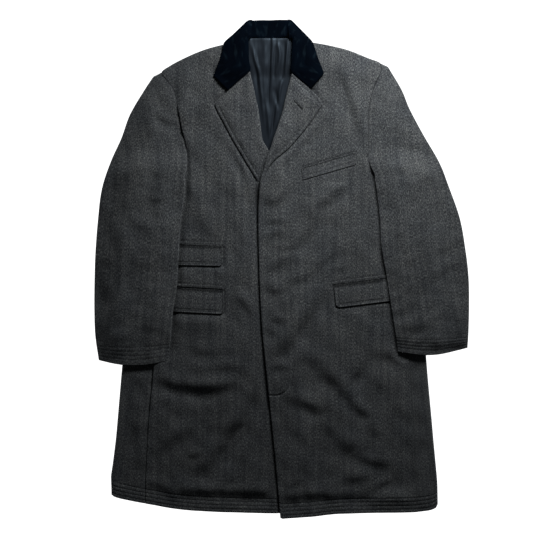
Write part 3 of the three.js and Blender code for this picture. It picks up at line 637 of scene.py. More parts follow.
def left_front_top(x, y):
    """The height of the left front's outside, which lies over the right front and its lapel."""
    under = np.where(y < BREAK_POINT, underlap_edge(y), read(LEFT_ROLL, "y", "x", y))
    over_front = (WALL + SEAM) * (1 - ease(4, 34, x - under)) * (1 - ease(780, 870, y))
    over_lapel = (LAPEL_WALL + SEAM) * ease(600, 664, y) * (1 - ease(12, 50, x)) * (1 - ease(780, 860, y))
    rolled = bell(x - left_edge(y), 13) * ease(648, 690, y) * (1 - ease(760, 840, y))
    over_lapel = over_lapel + 6.4 * rolled
    folds = body_folds("left", x, y) * ease(-24, 20, x)
    folds -= beside_sleeve("left", x, y) + beside_lapel("left", x, y)
    folds += (fly_puckers(x, y) + fly_stitching(x, y)) * (y < 700)
    folds += 1.3 * bell(x - read(FRONT_EDGE, "y", "x", y), 9.0) * (1 - ease(640, 700, y))
    folds += dart(x, y, 142 + (664 - y) * 0.022, 484, 668) - round_pockets(x, y)
    top = BODY_TOP + fullness(x, y) + over_front + over_lapel + folds - shoulder_drop("left", x, y)
    top = neck_lift(x, y) + np.maximum(top, 2 * WALL + SEAM)
    covers = (x < under + 2) & (y < UNDERARM)
    return np.where(covers, np.maximum(top, right_front_top(x, y) + WALL + SEAM), top)


FRONT_TOPS = {"right": right_front_top, "left": left_front_top}


def clear_over(surface, x, y, reach):
    """The highest of a surface at a place and round it, so that what lies on it stays clear."""
    highest = surface(x, y)
    for turn in range(6):
        angle = turn * math.pi / 3
        highest = np.maximum(highest, surface(x + reach * math.cos(angle), y + reach * math.sin(angle)))
    return highest


def sleeve_base(side, x, y):
    """What a sleeve lies on: the body and its flaps inside the side fold, and the floor beyond it."""
    outside = np.maximum(np.abs(x) - read(SIDES[side], "y", "fold", y), 0)
    above = np.maximum(y - UNDERARM - 6, 0)
    on_body = 1 - ease(14, 62, np.hypot(outside, above))
    on_flaps = ease(340, 400, y) * (1 - ease(585, 645, y))
    return (BODY_TOP + 2 * SEAM + (FLAP_WALL + SEAM) * on_flaps) * on_body


def spaced(length, step, start, end):
    """Distances from 0 to each length: the given ones near both ends, and even steps between."""
    start, end = np.asarray(start, dtype=float), np.asarray(end, dtype=float)
    middle = max(int((float(np.max(length)) - start[-1] - end[-1]) / step), 1)
    fraction = np.linspace(0, 1, middle + 1)[1:-1]
    room = np.minimum(1.0, 0.45 * length / max(start[-1], end[-1], 1e-6))
    first = start[None, :] * room[:, None]
    last = length[:, None] - end[::-1][None, :] * room[:, None]
    between = first[:, -1:] + (last[:, :1] - first[:, -1:]) * fraction[None, :]
    return np.hstack([first, between, last])


# Distances from an edge of the first points of a shell: a free edge is rounded, a sewn one is nearly square.
FREE = [0.0, 0.25, 0.8, 1.6, 2.6, 3.8, 5.0, 5.8, 6.6, 7.4, 8.4, 10.0]
SEWN = [0.0, 0.3, 1.0, 2.0]
NARROW = [0, 0.2, 0.7, 1.4]


def rounding(distance, radius, depth=1.0):
    """How much of its thickness a wall keeps near an edge: none at the edge itself, if depth is 1."""
    return 1 - depth * quarter_round(distance / radius)


def new_object(name, points, faces, uvs, material):
    """A smooth mesh in the row frame. Its cloth coordinates are metres along the cloth."""
    mesh = bpy.data.meshes.new(name)
    mesh.from_pydata(to_row(points).tolist(), [], faces.tolist())
    layer = mesh.uv_layers.new(name="cloth")
    loops = np.empty(len(mesh.loops), dtype=np.int32)
    mesh.loops.foreach_get("vertex_index", loops)
    layer.data.foreach_set("uv", (np.asarray(uvs) * 0.001)[loops].ravel())
    mesh.polygons.foreach_set("use_smooth", np.ones(len(mesh.polygons), dtype=bool))
    mesh.materials.append(material)
    mesh.validate()
    mesh.update()
    piece = bpy.data.objects.new(name, mesh)
    bpy.context.scene.collection.objects.link(piece)
    return piece


def grid_faces(rows, columns, start=0):
    at = start + np.arange(rows * columns).reshape(rows, columns)
    return np.stack([at[:-1, :-1], at[:-1, 1:], at[1:, 1:], at[1:, :-1]], axis=-1).reshape(-1, 4)


def rim_faces(rows, columns):
    """Joins the borders of an upper grid and the lower grid stored after it."""
    at = np.arange(rows * columns).reshape(rows, columns)
    border = np.concatenate([at[0, :], at[1:, -1], at[-1, -2::-1], at[-2:0:-1, 0]])
    following = np.roll(border, -1)
    other = rows * columns
    return np.stack([border, border + other, following + other, following], axis=-1)


def closed_wall(name, upper, lower, uv, material):
    """A closed wall between two grids of points, shape (rows, columns, 3)."""
    rows, columns = upper.shape[:2]
    points = np.concatenate([upper.reshape(-1, 3), lower.reshape(-1, 3)])
    top = grid_faces(rows, columns)
    bottom = grid_faces(rows, columns, rows * columns)[:, ::-1]
    faces = np.concatenate([top, bottom, rim_faces(rows, columns)])
    uvs = np.concatenate([uv.reshape(-1, 2), uv.reshape(-1, 2)])
    across = upper[0, 1] - upper[0, 0]
    along = upper[1, 0] - upper[0, 0]
    if across[0] * along[1] - across[1] * along[0] < 0:
        faces = faces[:, ::-1]
    return new_object(name, points, faces, uvs, material)


def flat_wall(name, x, y, upper, lower, uv, material):
    """A closed wall with one plan for both faces, given by their heights."""
    return closed_wall(name, np.stack([x, y, upper], axis=-1), np.stack([x, y, lower], axis=-1), uv, material)


def close_ends(outer, inner):
    """Brings the first rows of two faces together, and the last ones, so that a bent wall is closed there."""
    for end in (0, -1):
        middle = (outer[end] + inner[end]) / 2
        outer[end] = middle
        inner[end] = middle


def between_edges(inner, outer, t):
    """Places at the part t of the way from one edge to the other, in each row."""
    way = outer - inner
    return inner[:, None, 0] + way[:, None, 0] * t, inner[:, None, 1] + way[:, None, 1] * t


def dress(piece, nodes):
    """Each piece belongs to the one body and stands for its own solid."""
    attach(piece, "root")
    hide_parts(*nodes)


def panel(name, material, ys, inner, outer, place, top, wall, edges, step=STEP):
    """A shell between two edges read at each height, moved by place and lying at the height of top.

    edges gives the inner and outer edge's first distances, radius and depth, and the low and high
    edge's radius and depth.
    """
    left = inner(ys)
    right = outer(ys)
    width = np.abs(right - left)
    across = spaced(width, step, edges["inner"][0], edges["outer"][0])
    x = left[:, None] + np.sign(np.mean(right - left)) * across
    y = np.repeat(ys[:, None], x.shape[1], axis=1)
    x, y = place(x, y)
    middle = top(x, y) - wall / 2
    thick = rounding(across, *edges["inner"][1:]) * rounding(width[:, None] - across, *edges["outer"][1:])
    thick = thick * rounding(ys[:, None] - ys[0], *edges["low"])
    thick = thick * rounding(ys[-1] - ys[:, None], *edges["high"])
    uv = np.stack([x, y], axis=-1)
    return flat_wall(name, x, y, middle + thick * wall / 2, middle - thick * wall / 2, uv, material)


def hemmed(side):
    """Moves places on a front so that its lowest row follows the hem."""
    def place(x, y):
        return x, y + read(HEMS[side], "x", "rise", x) * (1 - ease(0, HEM_EASE, y))
    return place


def above_hem(side, x, y):
    """Height above the hem of a place that hemmed has already moved, near the hem."""
    return y - read(HEMS[side], "x", "rise", x)


def body_edge(side, column, inset):
    """A panel's edge: a side row's column below the underarm, and the armhole and shoulder above it."""
    sign = -1 if side == "right" else 1
    def edge(ys):
        low = read(SIDES[side], "y", column, ys) - inset
        high = read(ARMHOLES[side], "y", "x", ys) - SEAM / 2
        return sign * np.where(ys <= UNDERARM, low, high)
    return edge


def heights(low, high, fine_to=40.0, step=STEP, also=()):
    """Rows up a panel: close together at the hem and in the stretch also, where stitching runs."""
    start = np.concatenate([[0, 0.25, 0.8], np.arange(1.7, fine_to, FINE)])
    rest = np.linspace(fine_to, high - low - 1, int((high - low - fine_to) / step))
    rows = np.concatenate([start, rest, [high - low]])
    if also:
        outside = rows[(rows < also[0]) | (rows > also[1])]
        rows = np.sort(np.concatenate([outside, np.arange(also[0] + 0.6, also[1], FINE)]))
    return low + rows


def make_backs(wool):
    """Two plain halves, with a seam down the middle."""
    seam = (SEWN, 0.8, 0.6)
    edges = {"inner": seam, "outer": seam, "low": (1.5, 1.0), "high": (1.5, 1.0)}
    for side, sign in (("right", -1), ("left", 1)):
        piece = panel(
            f"{side}_back_cloth", wool, heights(14, NECK_TOP, 8.0),
            lambda ys: np.full(ys.shape, sign * SEAM / 2), body_edge(side, "fold", SIDE_TURN + SEAM),
            hemmed(side), lambda x, y: WALL + neck_lift(x, y), WALL, edges, step=9.0)
        dress(piece, [f"{side}_back"])


def make_fronts(wool):
    """The right front runs on under the left one, as far as its underlap."""
    edges = {"inner": (FREE, 1.7, 1.0), "outer": (SEWN, 1.3, 0.5), "low": (1.7, 1.0), "high": (1.0, 1.0)}

    def right_top(x, y):
        return right_front_top(x, y) + hem_ridges(above_hem("right", x, y))

    def right_inner(ys):
        roll = read(RIGHT_ROLL, "y", "x", ys) - 4.0
        return np.where(ys < BREAK_POINT, underlap_edge(ys) - 4.0 * ease(700, BREAK_POINT, ys), roll)

    piece = panel("right_front_cloth", wool, heights(0, NECK_TOP, step=3.2), right_inner,
                  body_edge("right", "seam", SEAM / 2), hemmed("right"), right_top, WALL, edges, step=3.2)
    dress(piece, ["right_front"])

    def left_inner(ys):
        roll = read(LEFT_ROLL, "y", "x", ys) + 4.0 * ease(BREAK_POINT, 770, ys)
        return np.where(ys < BREAK_POINT, read(FRONT_EDGE, "y", "x", ys), roll)

    def left_top(x, y):
        return left_front_top(x, y) + hem_ridges(above_hem("left", x, y))

    fly_points = list(np.arange(11.6, 62, 1.6))
    edges["inner"] = (FREE + fly_points, 1.7, 1.0)
    piece = panel("left_front_cloth", wool, heights(0, NECK_TOP, step=3.0, also=(240, 300)), left_inner,
                  body_edge("left", "seam", SEAM / 2), hemmed("left"), left_top, WALL, edges, step=3.6)
    dress(piece, ["left_front"])


def side_section(fold, seam, inset):
    """Across a side body: from its seam over the top, round the fold and under to the back seam."""
    bend = (fold - BODY_TOP / 2)[:, None]
    radius = BODY_TOP / 2 - inset
    angles = np.linspace(math.pi / 2, -math.pi / 2, 13)
    top_steps = np.concatenate([[0, 0.012, 0.04, 0.08], np.linspace(0.14, 0.94, 13)])
    top = seam[:, None] + (bend - seam[:, None]) * top_steps[None, :]
    arc = bend + radius * np.cos(angles)[None, :]
    under = bend - (bend - (fold - SIDE_TURN)[:, None]) * np.array([0.3, 0.65, 0.97, 1.0])[None, :]
    z = np.concatenate([
        np.full(top.shape[1], BODY_TOP - inset), BODY_TOP / 2 + radius * np.sin(angles),
        np.full(under.shape[1], inset)])
    return np.hstack([top, arc, under]), z[None, :]


def side_face(side, ys, inset):
    """One face of a side body: the outside for an inset of 0, the inside for one of its wall."""
    sign = -1 if side == "right" else 1
    fold = read(SIDES[side], "y", "fold", ys)
    seam = read(SIDES[side], "y", "seam", ys) + SEAM / 2
    across, z = side_section(fold, seam, inset)
    y = np.repeat(ys[:, None], across.shape[1], axis=1)
    x, y = hemmed(side)(sign * across, y)
    folds = (fold_height(BODY_FOLDS + BODY_LEDGES, x, y) + cloth_swell(x, y)) * open_cloth(side, x, y)
    folds = np.maximum(folds, -2.6) * ease(2, 26, fold[:, None] - np.abs(x))
    folds = folds + hem_ridges(above_hem(side, x, y)) * (z > BODY_TOP / 2)
    return np.stack([x, y, z + folds * (z / BODY_TOP) ** 2], axis=-1)


def make_side_bodies(wool):
    """Each side body runs from its seam on the front, round the side fold, to its seam on the back."""
    ys = heights(0, UNDERARM)
    for side in ("right", "left"):
        outer, inner = side_face(side, ys, 0.0), side_face(side, ys, WALL)
        close_ends(outer, inner)
        soften = 0.5 * (outer[:, 0] + inner[:, 0])
        outer[:, 0] = soften + (outer[:, 0] - soften) * 0.35
        uv = np.stack([np.cumsum(np.full(outer.shape[:2], 4.0), axis=1), outer[..., 1]], axis=-1)
        piece = closed_wall(f"{side}_side_body_cloth", outer, inner, uv, wool)
        dress(piece, [f"{side}_side_body"])


def sleeve_rows(side, along):
    """The inner and outer edge of a sleeve, at each part of the way from its head to its cuff."""
    sign = -1 if side == "right" else 1
    table = SLEEVES[side]
    dense = np.linspace(0, len(table) - 1, 1200)
    edges = []
    for x, y in (("inner_x", "inner_y"), ("outer_x", "outer_y")):
        path = smooth_path([(sign * getattr(row, x), getattr(row, y)) for row in table], len(dense))
        places = [np.interp(along * (len(table) - 1), dense, path[:, k]) for k in (0, 1)]
        edges.append(np.stack(places, axis=-1))
    inner, outer = edges
    seam = sign * (read(ARMHOLES[side], "y", "x", inner[:, 1]) - 1.6)
    inner[:, 0] += (seam - inner[:, 0]) * ease(UNDERARM, UNDERARM + 26, inner[:, 1])
    return inner, outer


def sleeve_extra(side, x, y, t, along, across):
    """What folds, loft, stitching and the armhole's seam add to the top of a sleeve."""
    folds = fold_height(SLEEVE_FOLDS + SLEEVE_LEDGES, x, y)
    folds = folds + SLEEVE_SWELL.at(x, y) + 0.45 * SLEEVE_RIPPLE.at(x, y)
    loft = 3.2 * np.sin(np.pi * np.clip(t, 0, 1)) * ease(0.02, 0.2, along) * (1 - 0.6 * ease(0.85, 1, along))
    extra = np.maximum(folds, -3.4) + loft
    for line in CUFF_STITCHES:
        extra = extra - 0.6 * bell((1 - along) * SLEEVE_LENGTH - line, STITCH_WIDTH)
    seam_depth = 1.6 if side == "right" else 4.4
    return extra - seam_depth * bell(across, 2.4) * ease(UNDERARM + 16, UNDERARM + 60, y)


def sleeve_fullness(across, width, along, y):
    """How much of its height a sleeve keeps: it is pressed flatter along its edges and at its cuff."""
    on_inner = across < width / 2
    inside = np.minimum(across, width - across)
    pressed = np.where(on_inner, 1 - ease(UNDERARM + 6, UNDERARM + 60, y), ease(0.02, 0.2, along))
    share = np.where(on_inner, 0.42, 0.3)
    kept = 1 - share * (1 - ease(-6, 40, inside)) * pressed
    return kept * (1 - 0.3 * ease(0.93, 1.0, along))


def sleeve_place(inner, outer, along, t):
    """Places across a sleeve, whose cuff bows down a little in its middle."""
    x, y = between_edges(inner, outer, t)
    return x, y - CUFF_BOW * ease(0.9, 1, along) * np.sin(np.pi * np.clip(t, 0, 1))


def sleeve_face(side, inner, outer, along, inset):
    """One face of a top sleeve, from the seam under its inner fold, over the top, to the other seam."""
    width = np.hypot(*(outer - inner).T)[:, None]
    turn = np.minimum(SLEEVE_TURN, width * 0.44)
    bend = np.minimum(1.4, width / 2.4)
    radius = bend * (1 - 0.6 * (inset > 0))
    angles = np.linspace(-math.pi / 2, math.pi / 2, 13)
    near = bend - radius * np.cos(angles)[None, :]
    middle = bend + (width - 2 * bend) * np.linspace(0, 1, 44)[1:-1][None, :]
    across = np.hstack([turn, near, middle, width - near[:, ::-1], width - turn])
    rise = SLEEVE_TOP / 2 + (SLEEVE_TOP / 2 - inset) * np.sin(angles)
    flat = np.full(middle.shape[1], SLEEVE_TOP - inset)
    z = np.concatenate([[inset], rise, flat, rise[::-1], [inset]])[None, :]
    t = across / width
    x, y = sleeve_place(inner, outer, along, t)
    extra = sleeve_extra(side, x, y, t, along, across)
    z = z * sleeve_fullness(across, width, along, y) + extra * (z / SLEEVE_TOP) ** 2
    return np.stack([x, y, z + sleeve_base(side, x, y)], axis=-1), across


def make_under_sleeve(side, inner, outer, along, wool):
    """The under sleeve closes the gap between the two seams of the top sleeve."""
    width = np.hypot(*(outer - inner).T)[:, None]
    turn = np.minimum(SLEEVE_TURN, width * 0.44)
    across = turn + SEAM + (width - 2 * turn - 2 * SEAM) * np.linspace(0, 1, 16)[None, :]
    x, y = sleeve_place(inner, outer, along, across / width)
    base = sleeve_base(side, x, y)
    uv = np.stack([across, y], axis=-1)
    piece = flat_wall(f"{side}_under_sleeve_cloth", x, y, base + SLEEVE_WALL, base, uv, wool)
    dress(piece, [f"{side}_under_sleeve"])


def make_sleeves(wool):
    """Each sleeve is a flat tube with open ends, in two pieces."""
    from_cuff = np.concatenate([np.arange(40.0, 1.5, -FINE), [0.8, 0.25]]) / SLEEVE_LENGTH
    along = np.concatenate([np.linspace(0.0, 0.93, 150), 1 - from_cuff, [1.0]])[:, None]
    for side in ("right", "left"):
        inner, outer = sleeve_rows(side, along[:, 0])
        top, across = sleeve_face(side, inner, outer, along, 0.0)
        bottom, _ = sleeve_face(side, inner, outer, along, SLEEVE_WALL)
        close_ends(top, bottom)
        uv = np.stack([across, np.repeat(along * SLEEVE_LENGTH, across.shape[1], axis=1)], axis=-1)
        piece = closed_wall(f"{side}_top_sleeve_cloth", top, bottom, uv, wool)
        dress(piece, [f"{side}_top_sleeve"])
        make_under_sleeve(side, inner, outer, along, wool)


def edge_stitching(distance):
    """A line of stitching inside a lapel's free edge, with a soft ridge outside it."""
    return 0.6 * bell(distance - 3.0, 2.0) - 0.6 * bell(distance - EDGE_STITCH, 1.2)


def buttonhole(x, y):
    """A worked buttonhole near the notch: two raised lips with a slit between them."""
    start, end = np.array([48.5, 853.0]), np.array([66.0, 834.0])
    step = end - start
    length = np.hypot(*step)
    along = ((x - start[0]) * step[0] + (y - start[1]) * step[1]) / length
    aside = ((x - start[0]) * -step[1] + (y - start[1]) * step[0]) / length
    inside = ease(-1.0, 1.0, along) * ease(-1.0, 1.0, length - along)
    return inside * (0.6 * bell(np.abs(aside) - 2.6, 1.0) - 3.4 * bell(aside, 1.3))


def distance_to_path(x, y, path_x, path_y):
    """How far each place is from a path drawn through the given points."""
    nearest = np.full(np.shape(x), np.inf)
    for i in range(len(path_x) - 1):
        step_x, step_y = path_x[i + 1] - path_x[i], path_y[i + 1] - path_y[i]
        length = max(step_x ** 2 + step_y ** 2, 1e-12)
        along = np.clip(((x - path_x[i]) * step_x + (y - path_y[i]) * step_y) / length, 0, 1)
        away = np.hypot(x - path_x[i] - along * step_x, y - path_y[i] - along * step_y)
        nearest = np.minimum(nearest, away)
    return nearest


def make_lapels(wool):
    """Each lapel is turned out from its roll, where it curls down to the front below."""
    roll_points = [0, 0.2, 0.6, 1.2, 2.0, 3.0, 4.4, 6.0, 8.0]
    for side, surface in FRONT_TOPS.items():
        table = LAPELS[side]
        low, high = table[0].y, table[-1].y
        rows = np.arange(low + 2, high - 2, 1.7)
        ys = np.concatenate([[low, low + 0.3, low + 0.9], rows, [high - 0.9, high]])
        outer = read(table, "y", "outer", ys)
        inner = read(table, "y", "inner", ys)
        width = np.abs(inner - outer)
        across = spaced(width, 1.8, FREE, roll_points)
        x = outer[:, None] + np.sign(np.mean(inner - outer)) * across
        y = np.repeat(ys[:, None], x.shape[1], axis=1)
        middle = clear_over(surface, x, y, 1.0 if side == "right" else 4.0) + SEAM + LAPEL_WALL / 2
        to_roll = width[:, None] - across
        to_edge = distance_to_path(x, y, outer, ys)
        puff = 2.2 + 1.6 * ease(0, 26, to_roll) * ease(0, 26, to_edge) + 1.6 * bell(to_roll - 9, 8)
        puff = puff + 0.35 * BODY_RIPPLE.at(x * 1.3, y * 1.3)
        thick = rounding(to_edge, 2.4)
        top_z = middle + thick * LAPEL_WALL / 2
        low_z = middle - thick * LAPEL_WALL / 2
        top_z = top_z + puff * ease(0, 15, to_edge) + edge_stitching(to_edge) * ease(0, 1.6, to_edge)
        if side == "left":
            top_z = top_z + buttonhole(x, y)
            turned = ease(BREAK_POINT - 8, BREAK_POINT + 24, y)
        else:
            top_z = top_z - puff * (1 - ease(1, 11, left_edge(y) - x)) * (y < 775)
            turned = np.where(y > BREAK_POINT - 30, 1.0, 0.0)
        curl = quarter_round(to_roll / 3.4)
        top_z = top_z - curl * (LAPEL_WALL + WALL * 0.8 * turned)
        low_z = np.minimum(low_z - curl * WALL * 0.55 * turned, top_z - 0.02)
        piece = flat_wall(f"{side}_lapel_cloth", x, y, top_z, low_z, np.stack([x, y], axis=-1), wool)
        dress(piece, [f"{side}_lapel"])


def make_leaf(side, surface, velvet):
    """A collar leaf lies on its front, and near the neck it rises to the turned back of the collar."""
    rows = 70
    inner = smooth_path([(row.inner_x, row.inner_y) for row in LEAVES[side]], rows)
    outer = smooth_path([(row.outer_x, row.outer_y) for row in LEAVES[side]], rows)
    along = np.linspace(0, 1, rows)[:, None]
    width = np.hypot(*(outer - inner).T)
    edge_points = [0, 0.2, 0.7, 1.5, 2.6, 4.0, 6.0, 8.5]
    across = spaced(width, 2.2, edge_points, edge_points)
    t = across / width[:, None]
    x, y = between_edges(inner, outer, t)
    lying = clear_over(surface, x, np.minimum(y, 960), 8.0) + SEAM
    turned = ease(0.58, 0.9, along)
    lying = lying + (COLLAR_BEND + SEAM - lying) * turned * ease(0.05, 0.9, t)
    edge = width[:, None] - across
    merge = ease(0.86, 0.995, along)
    thick = rounding(edge, 2.2) * rounding(across, 2.4)
    thick = thick * rounding(along * LEAF_LENGTH, 2.4) * (1 - 0.75 * merge)
    puff = 2.6 * ease(0, 16, across) * ease(0, 18, edge) * (1 - 0.5 * turned)
    puff = puff + 1.6 * bell(across - 7, 5) * ease(0.2, 0.4, along)
    drop = quarter_round(edge / 11.0) * turned * (COLLAR_BEND * 0.55) + merge * 1.1
    middle = lying + COLLAR_WALL / 2 - drop
    uv = np.stack([across, np.repeat(along * LEAF_LENGTH, across.shape[1], axis=1)], axis=-1)
    piece = flat_wall(f"collar_{side}_leaf_velvet", x, y, middle + thick * COLLAR_WALL / 2 + puff,
                      middle - thick * COLLAR_WALL / 2, uv, velvet)
    dress(piece, [f"collar_{side}_leaf"])


def neck_face(inset):
    """One face of the collar behind the neck: down its stand, round the turn and under as the fall."""
    rows = 90
    tops = smooth_path([(row.top_x, row.top_y) for row in NECK_TURN], rows)
    lows = smooth_path([(row.low_x, row.low_y) for row in NECK_TURN], rows)
    depth = np.hypot(*(lows - tops).T)
    down = (lows - tops) / depth[:, None]
    aside = np.abs(tops[:, 0])
    stand = np.where(aside < 46, 34 + 6.5 * ease(46, 0, aside), 6.0)
    radius = COLLAR_BEND / 2
    angles = np.linspace(math.pi / 2, -math.pi / 2, 13)
    top = radius + (stand - radius)[:, None] * np.linspace(1, 0, 14)[:-1][None, :]
    arc = np.repeat((radius - (radius - inset) * np.cos(angles))[None, :], rows, axis=0)
    under = radius + (depth - radius)[:, None] * np.linspace(0, 1, 8)[1:][None, :]
    across = np.hstack([top, arc, under])
    z = np.concatenate([
        np.full(top.shape[1], COLLAR_BEND - inset), radius + (radius - inset) * np.sin(angles),
        np.full(under.shape[1], inset)])[None, :]
    x = tops[:, None, 0] + down[:, None, 0] * across
    y = tops[:, None, 1] + down[:, None, 1] * across
    swell = (1.7 + 0.02 * (across - 20)) * (z > COLLAR_BEND / 2) * ease(0, 4, across)
    uv = np.stack([np.repeat(tops[:, :1], across.shape[1], axis=1), across], axis=-1)
    return np.stack([x, y, z + swell], axis=-1), uv


def make_collar(velvet):
    """Two leaves, and the stand and fall behind the neck in one piece."""
    for side, surface in FRONT_TOPS.items():
        make_leaf(side, surface, velvet)
    outer, uv = neck_face(0.0)
    inner, _ = neck_face(COLLAR_WALL)
    close_ends(outer.swapaxes(0, 1), inner.swapaxes(0, 1))
    piece = closed_wall("collar_back_velvet", outer, inner, uv, velvet)
    dress(piece, ["collar_back"])


def make_lining(satin):
    """The back's lining, as far as it shows between the lapels and a little under them."""
    edges = {"inner": (SEWN, 0.6, 1.0), "outer": (SEWN, 0.6, 1.0), "low": (0.6, 1.0), "high": (0.6, 1.0)}

    def top(x, y):
        folds = fold_height(LINING_FOLDS, x, y) + 0.16 * LINING_RIPPLE.at(x * 1.2, y * 0.4)
        from_right = x - read(RIGHT_ROLL, "y", "x", y)
        from_left = read(LEFT_ROLL, "y", "x", y) - x
        inside = ease(4, 14, from_right) * ease(4, 14, from_left)
        shaped = np.clip(1.35 * folds, -1.4, 4.6)
        return WALL + neck_lift(x, y) + 2 * SEAM + LINING_WALL + 1.4 + shaped * (0.2 + 0.8 * inside)

    piece = panel(
        "back_lining_satin", satin, heights(690, 981, 3.0),
        lambda ys: np.minimum(read(RIGHT_ROLL, "y", "x", ys), -8) - 14,
        lambda ys: read(LEFT_ROLL, "y", "x", ys) + 14,
        lambda x, y: (x, y), top, LINING_WALL, edges, step=1.1)
    dress(piece, ["back_lining"])


def pocket_grid(pocket):
    """How far across and down a pocket piece each of its points lies. A flap's lower corners are round."""
    flap = pocket.name.endswith("flap")
    length = pocket.x1 - pocket.x0
    free = FREE if pocket.drop > 20 else NARROW
    upper = [0, 0.4, 1.2, 2.4] if flap else free
    across_points = spaced(np.array([length]), 2.6, free, free)[0]
    down_points = spaced(np.array([pocket.drop]), 2.2, upper, free)[0]
    across, down = np.meshgrid(across_points, down_points[::-1])
    corner = FLAP_CORNER if flap else 1.5
    from_low = pocket.drop - down
    from_end = np.minimum(across, length - across)
    cut = np.clip(corner - from_end, 0, None)
    shorten = corner - np.sqrt(np.clip(corner ** 2 - cut ** 2, 0, None))
    down = np.where(from_low < corner * 2, down - shorten * (1 - from_low / (corner * 2)), down)
    return across, down, from_end, from_low


def make_pockets(wool):
    """Flaps, jets and the welt lie on their fronts, with soft edges and a line of stitching."""
    slants = {"breast_welt": WELT_SLANT, "left_hip_flap": LEFT_FLAP_SLANT}
    for pocket in POCKETS:
        side = "right" if pocket.x0 < 0 else "left"
        length = pocket.x1 - pocket.x0
        flap = pocket.name.endswith("flap")
        across, down, from_end, from_low = pocket_grid(pocket)
        x = pocket.x0 + across + slants.get(pocket.name, 0.0) * down
        y = pocket.y0 + (pocket.y1 - pocket.y0) / length * across - down
        edge = np.minimum(from_end, from_low)
        thick = rounding(np.minimum(edge, down + (2.0 if flap else 0.0)), min(1.5, pocket.wall))
        puff = (1.3 if flap else 0.3) * ease(0, 14, from_end) * ease(0, 10, from_low) * ease(-4, 18, down)
        groove = 0.5 * bell(edge - EDGE_STITCH, 1.0) if pocket.drop > 20 else 0.0
        middle = clear_over(FRONT_TOPS[side], x, y, 4.0) + SEAM + pocket.wall / 2
        top_z = middle + thick * pocket.wall / 2 + puff - groove * (thick > 0.9)
        low_z = middle - thick * pocket.wall / 2
        uv = np.stack([x, y], axis=-1)
        piece = flat_wall(f"{pocket.name}_cloth", x, y, top_z, low_z, uv, wool)
        dress(piece, [pocket.name])


# Materials

def new_material(name, color, roughness, sheen, sheen_roughness, sheen_tint, specular):
    """A material with its nodes, its links and its shader."""
    material = bpy.data.materials.new(name)
    material.use_nodes = True
    nodes, links = material.node_tree.nodes, material.node_tree.links
    shader = nodes["Principled BSDF"]
    shader.inputs["Base Color"].default_value = (*color, 1)
    shader.inputs["Roughness"].default_value = roughness
    shader.inputs["Sheen Weight"].default_value = sheen
    shader.inputs["Sheen Roughness"].default_value = sheen_roughness
    shader.inputs["Sheen Tint"].default_value = (*sheen_tint, 1)
    shader.inputs["Specular IOR Level"].default_value = specular
    return material, nodes, links, shader


def noise(nodes, links, scale, detail, roughness, stretch=(1, 1, 1), turn=0.0):
    """Noise over the cloth coordinates. A stretch under 1 draws it out along that axis."""
    mapping = nodes.new("ShaderNodeMapping")
    mapping.inputs["Scale"].default_value = stretch
    mapping.inputs["Rotation"].default_value = (0, 0, turn)
    links.new(nodes.new("ShaderNodeTexCoord").outputs["UV"], mapping.inputs["Vector"])
    node = nodes.new("ShaderNodeTexNoise")
    links.new(mapping.outputs["Vector"], node.inputs["Vector"])
    node.inputs["Scale"].default_value = scale
    node.inputs["Detail"].default_value = detail
    node.inputs["Roughness"].default_value = roughness
    return node.outputs["Fac"]


def ramp(nodes, links, source, *stops):
    """Colours for the low and the high parts of a noise."""
    node = nodes.new("ShaderNodeValToRGB")
    elements = node.color_ramp.elements
    while len(elements) < len(stops):
        elements.new(0.5)
    for element, (position, color) in zip(elements, stops):
        element.position = position
        element.color = (*color, 1)
    links.new(source, node.inputs["Fac"])
    return node.outputs["Color"]


def blended(nodes, links, how, first, second):
    """Two colours multiplied or added."""
    node = nodes.new("ShaderNodeMix")
    node.data_type = "RGBA"
    node.blend_type = how
    factor, under, over = node.inputs[0], node.inputs[6], node.inputs[7]
    factor.default_value = 1.0
    links.new(first, under)
    links.new(second, over)
    return node.outputs[2]


def finish_cloth(nodes, links, shader, colour, relief, strength, depth):
    """Gives a shader its colour, and its relief from a noise."""
    links.new(colour, shader.inputs["Base Color"])
    bump = nodes.new("ShaderNodeBump")
    bump.inputs["Strength"].default_value = strength
    bump.inputs["Distance"].default_value = depth
    links.new(relief, bump.inputs["Height"])
    links.new(bump.outputs["Normal"], shader.inputs["Normal"])


def make_wool():
    """Charcoal melange: dark and light fibres in a fine upright twill, with a soft nap."""
    material, nodes, links, shader = new_material(
        "wool", (0.03, 0.032, 0.034), 0.95, 0.12, 0.55, (0.75, 0.8, 0.85), 0.15)
    fibres = noise(nodes, links, 620, 3.0, 0.7, (1.0, 0.42, 1))
    flecks = noise(nodes, links, 430, 2.0, 0.75, (1.0, 0.6, 1), turn=0.5)
    streaks = noise(nodes, links, 130, 3.0, 0.65, (1.0, 0.05, 1))
    patches = noise(nodes, links, 14, 3.0, 0.6)
    dark, mid, light = (0.011, 0.0122, 0.0143), (0.0359, 0.0394, 0.0432), (0.112, 0.119, 0.1235)
    colour = ramp(nodes, links, fibres, (0.34, dark), (0.5, mid), (0.66, light))
    for source, stops in (
            (flecks, [(0.36, (0.66, 0.62, 0.68)), (0.5, (1, 1, 1)), (0.66, (1.36, 1.4, 1.3))]),
            (streaks, [(0.33, (0.72, 0.73, 0.75)), (0.67, (1.28, 1.27, 1.24))]),
            (patches, [(0.3, (0.86, 0.88, 0.9)), (0.7, (1.12, 1.1, 1.06))])):
        colour = blended(nodes, links, "MULTIPLY", colour, ramp(nodes, links, source, *stops))
    finish_cloth(nodes, links, shader, colour, fibres, 0.5, 0.0006)
    return material


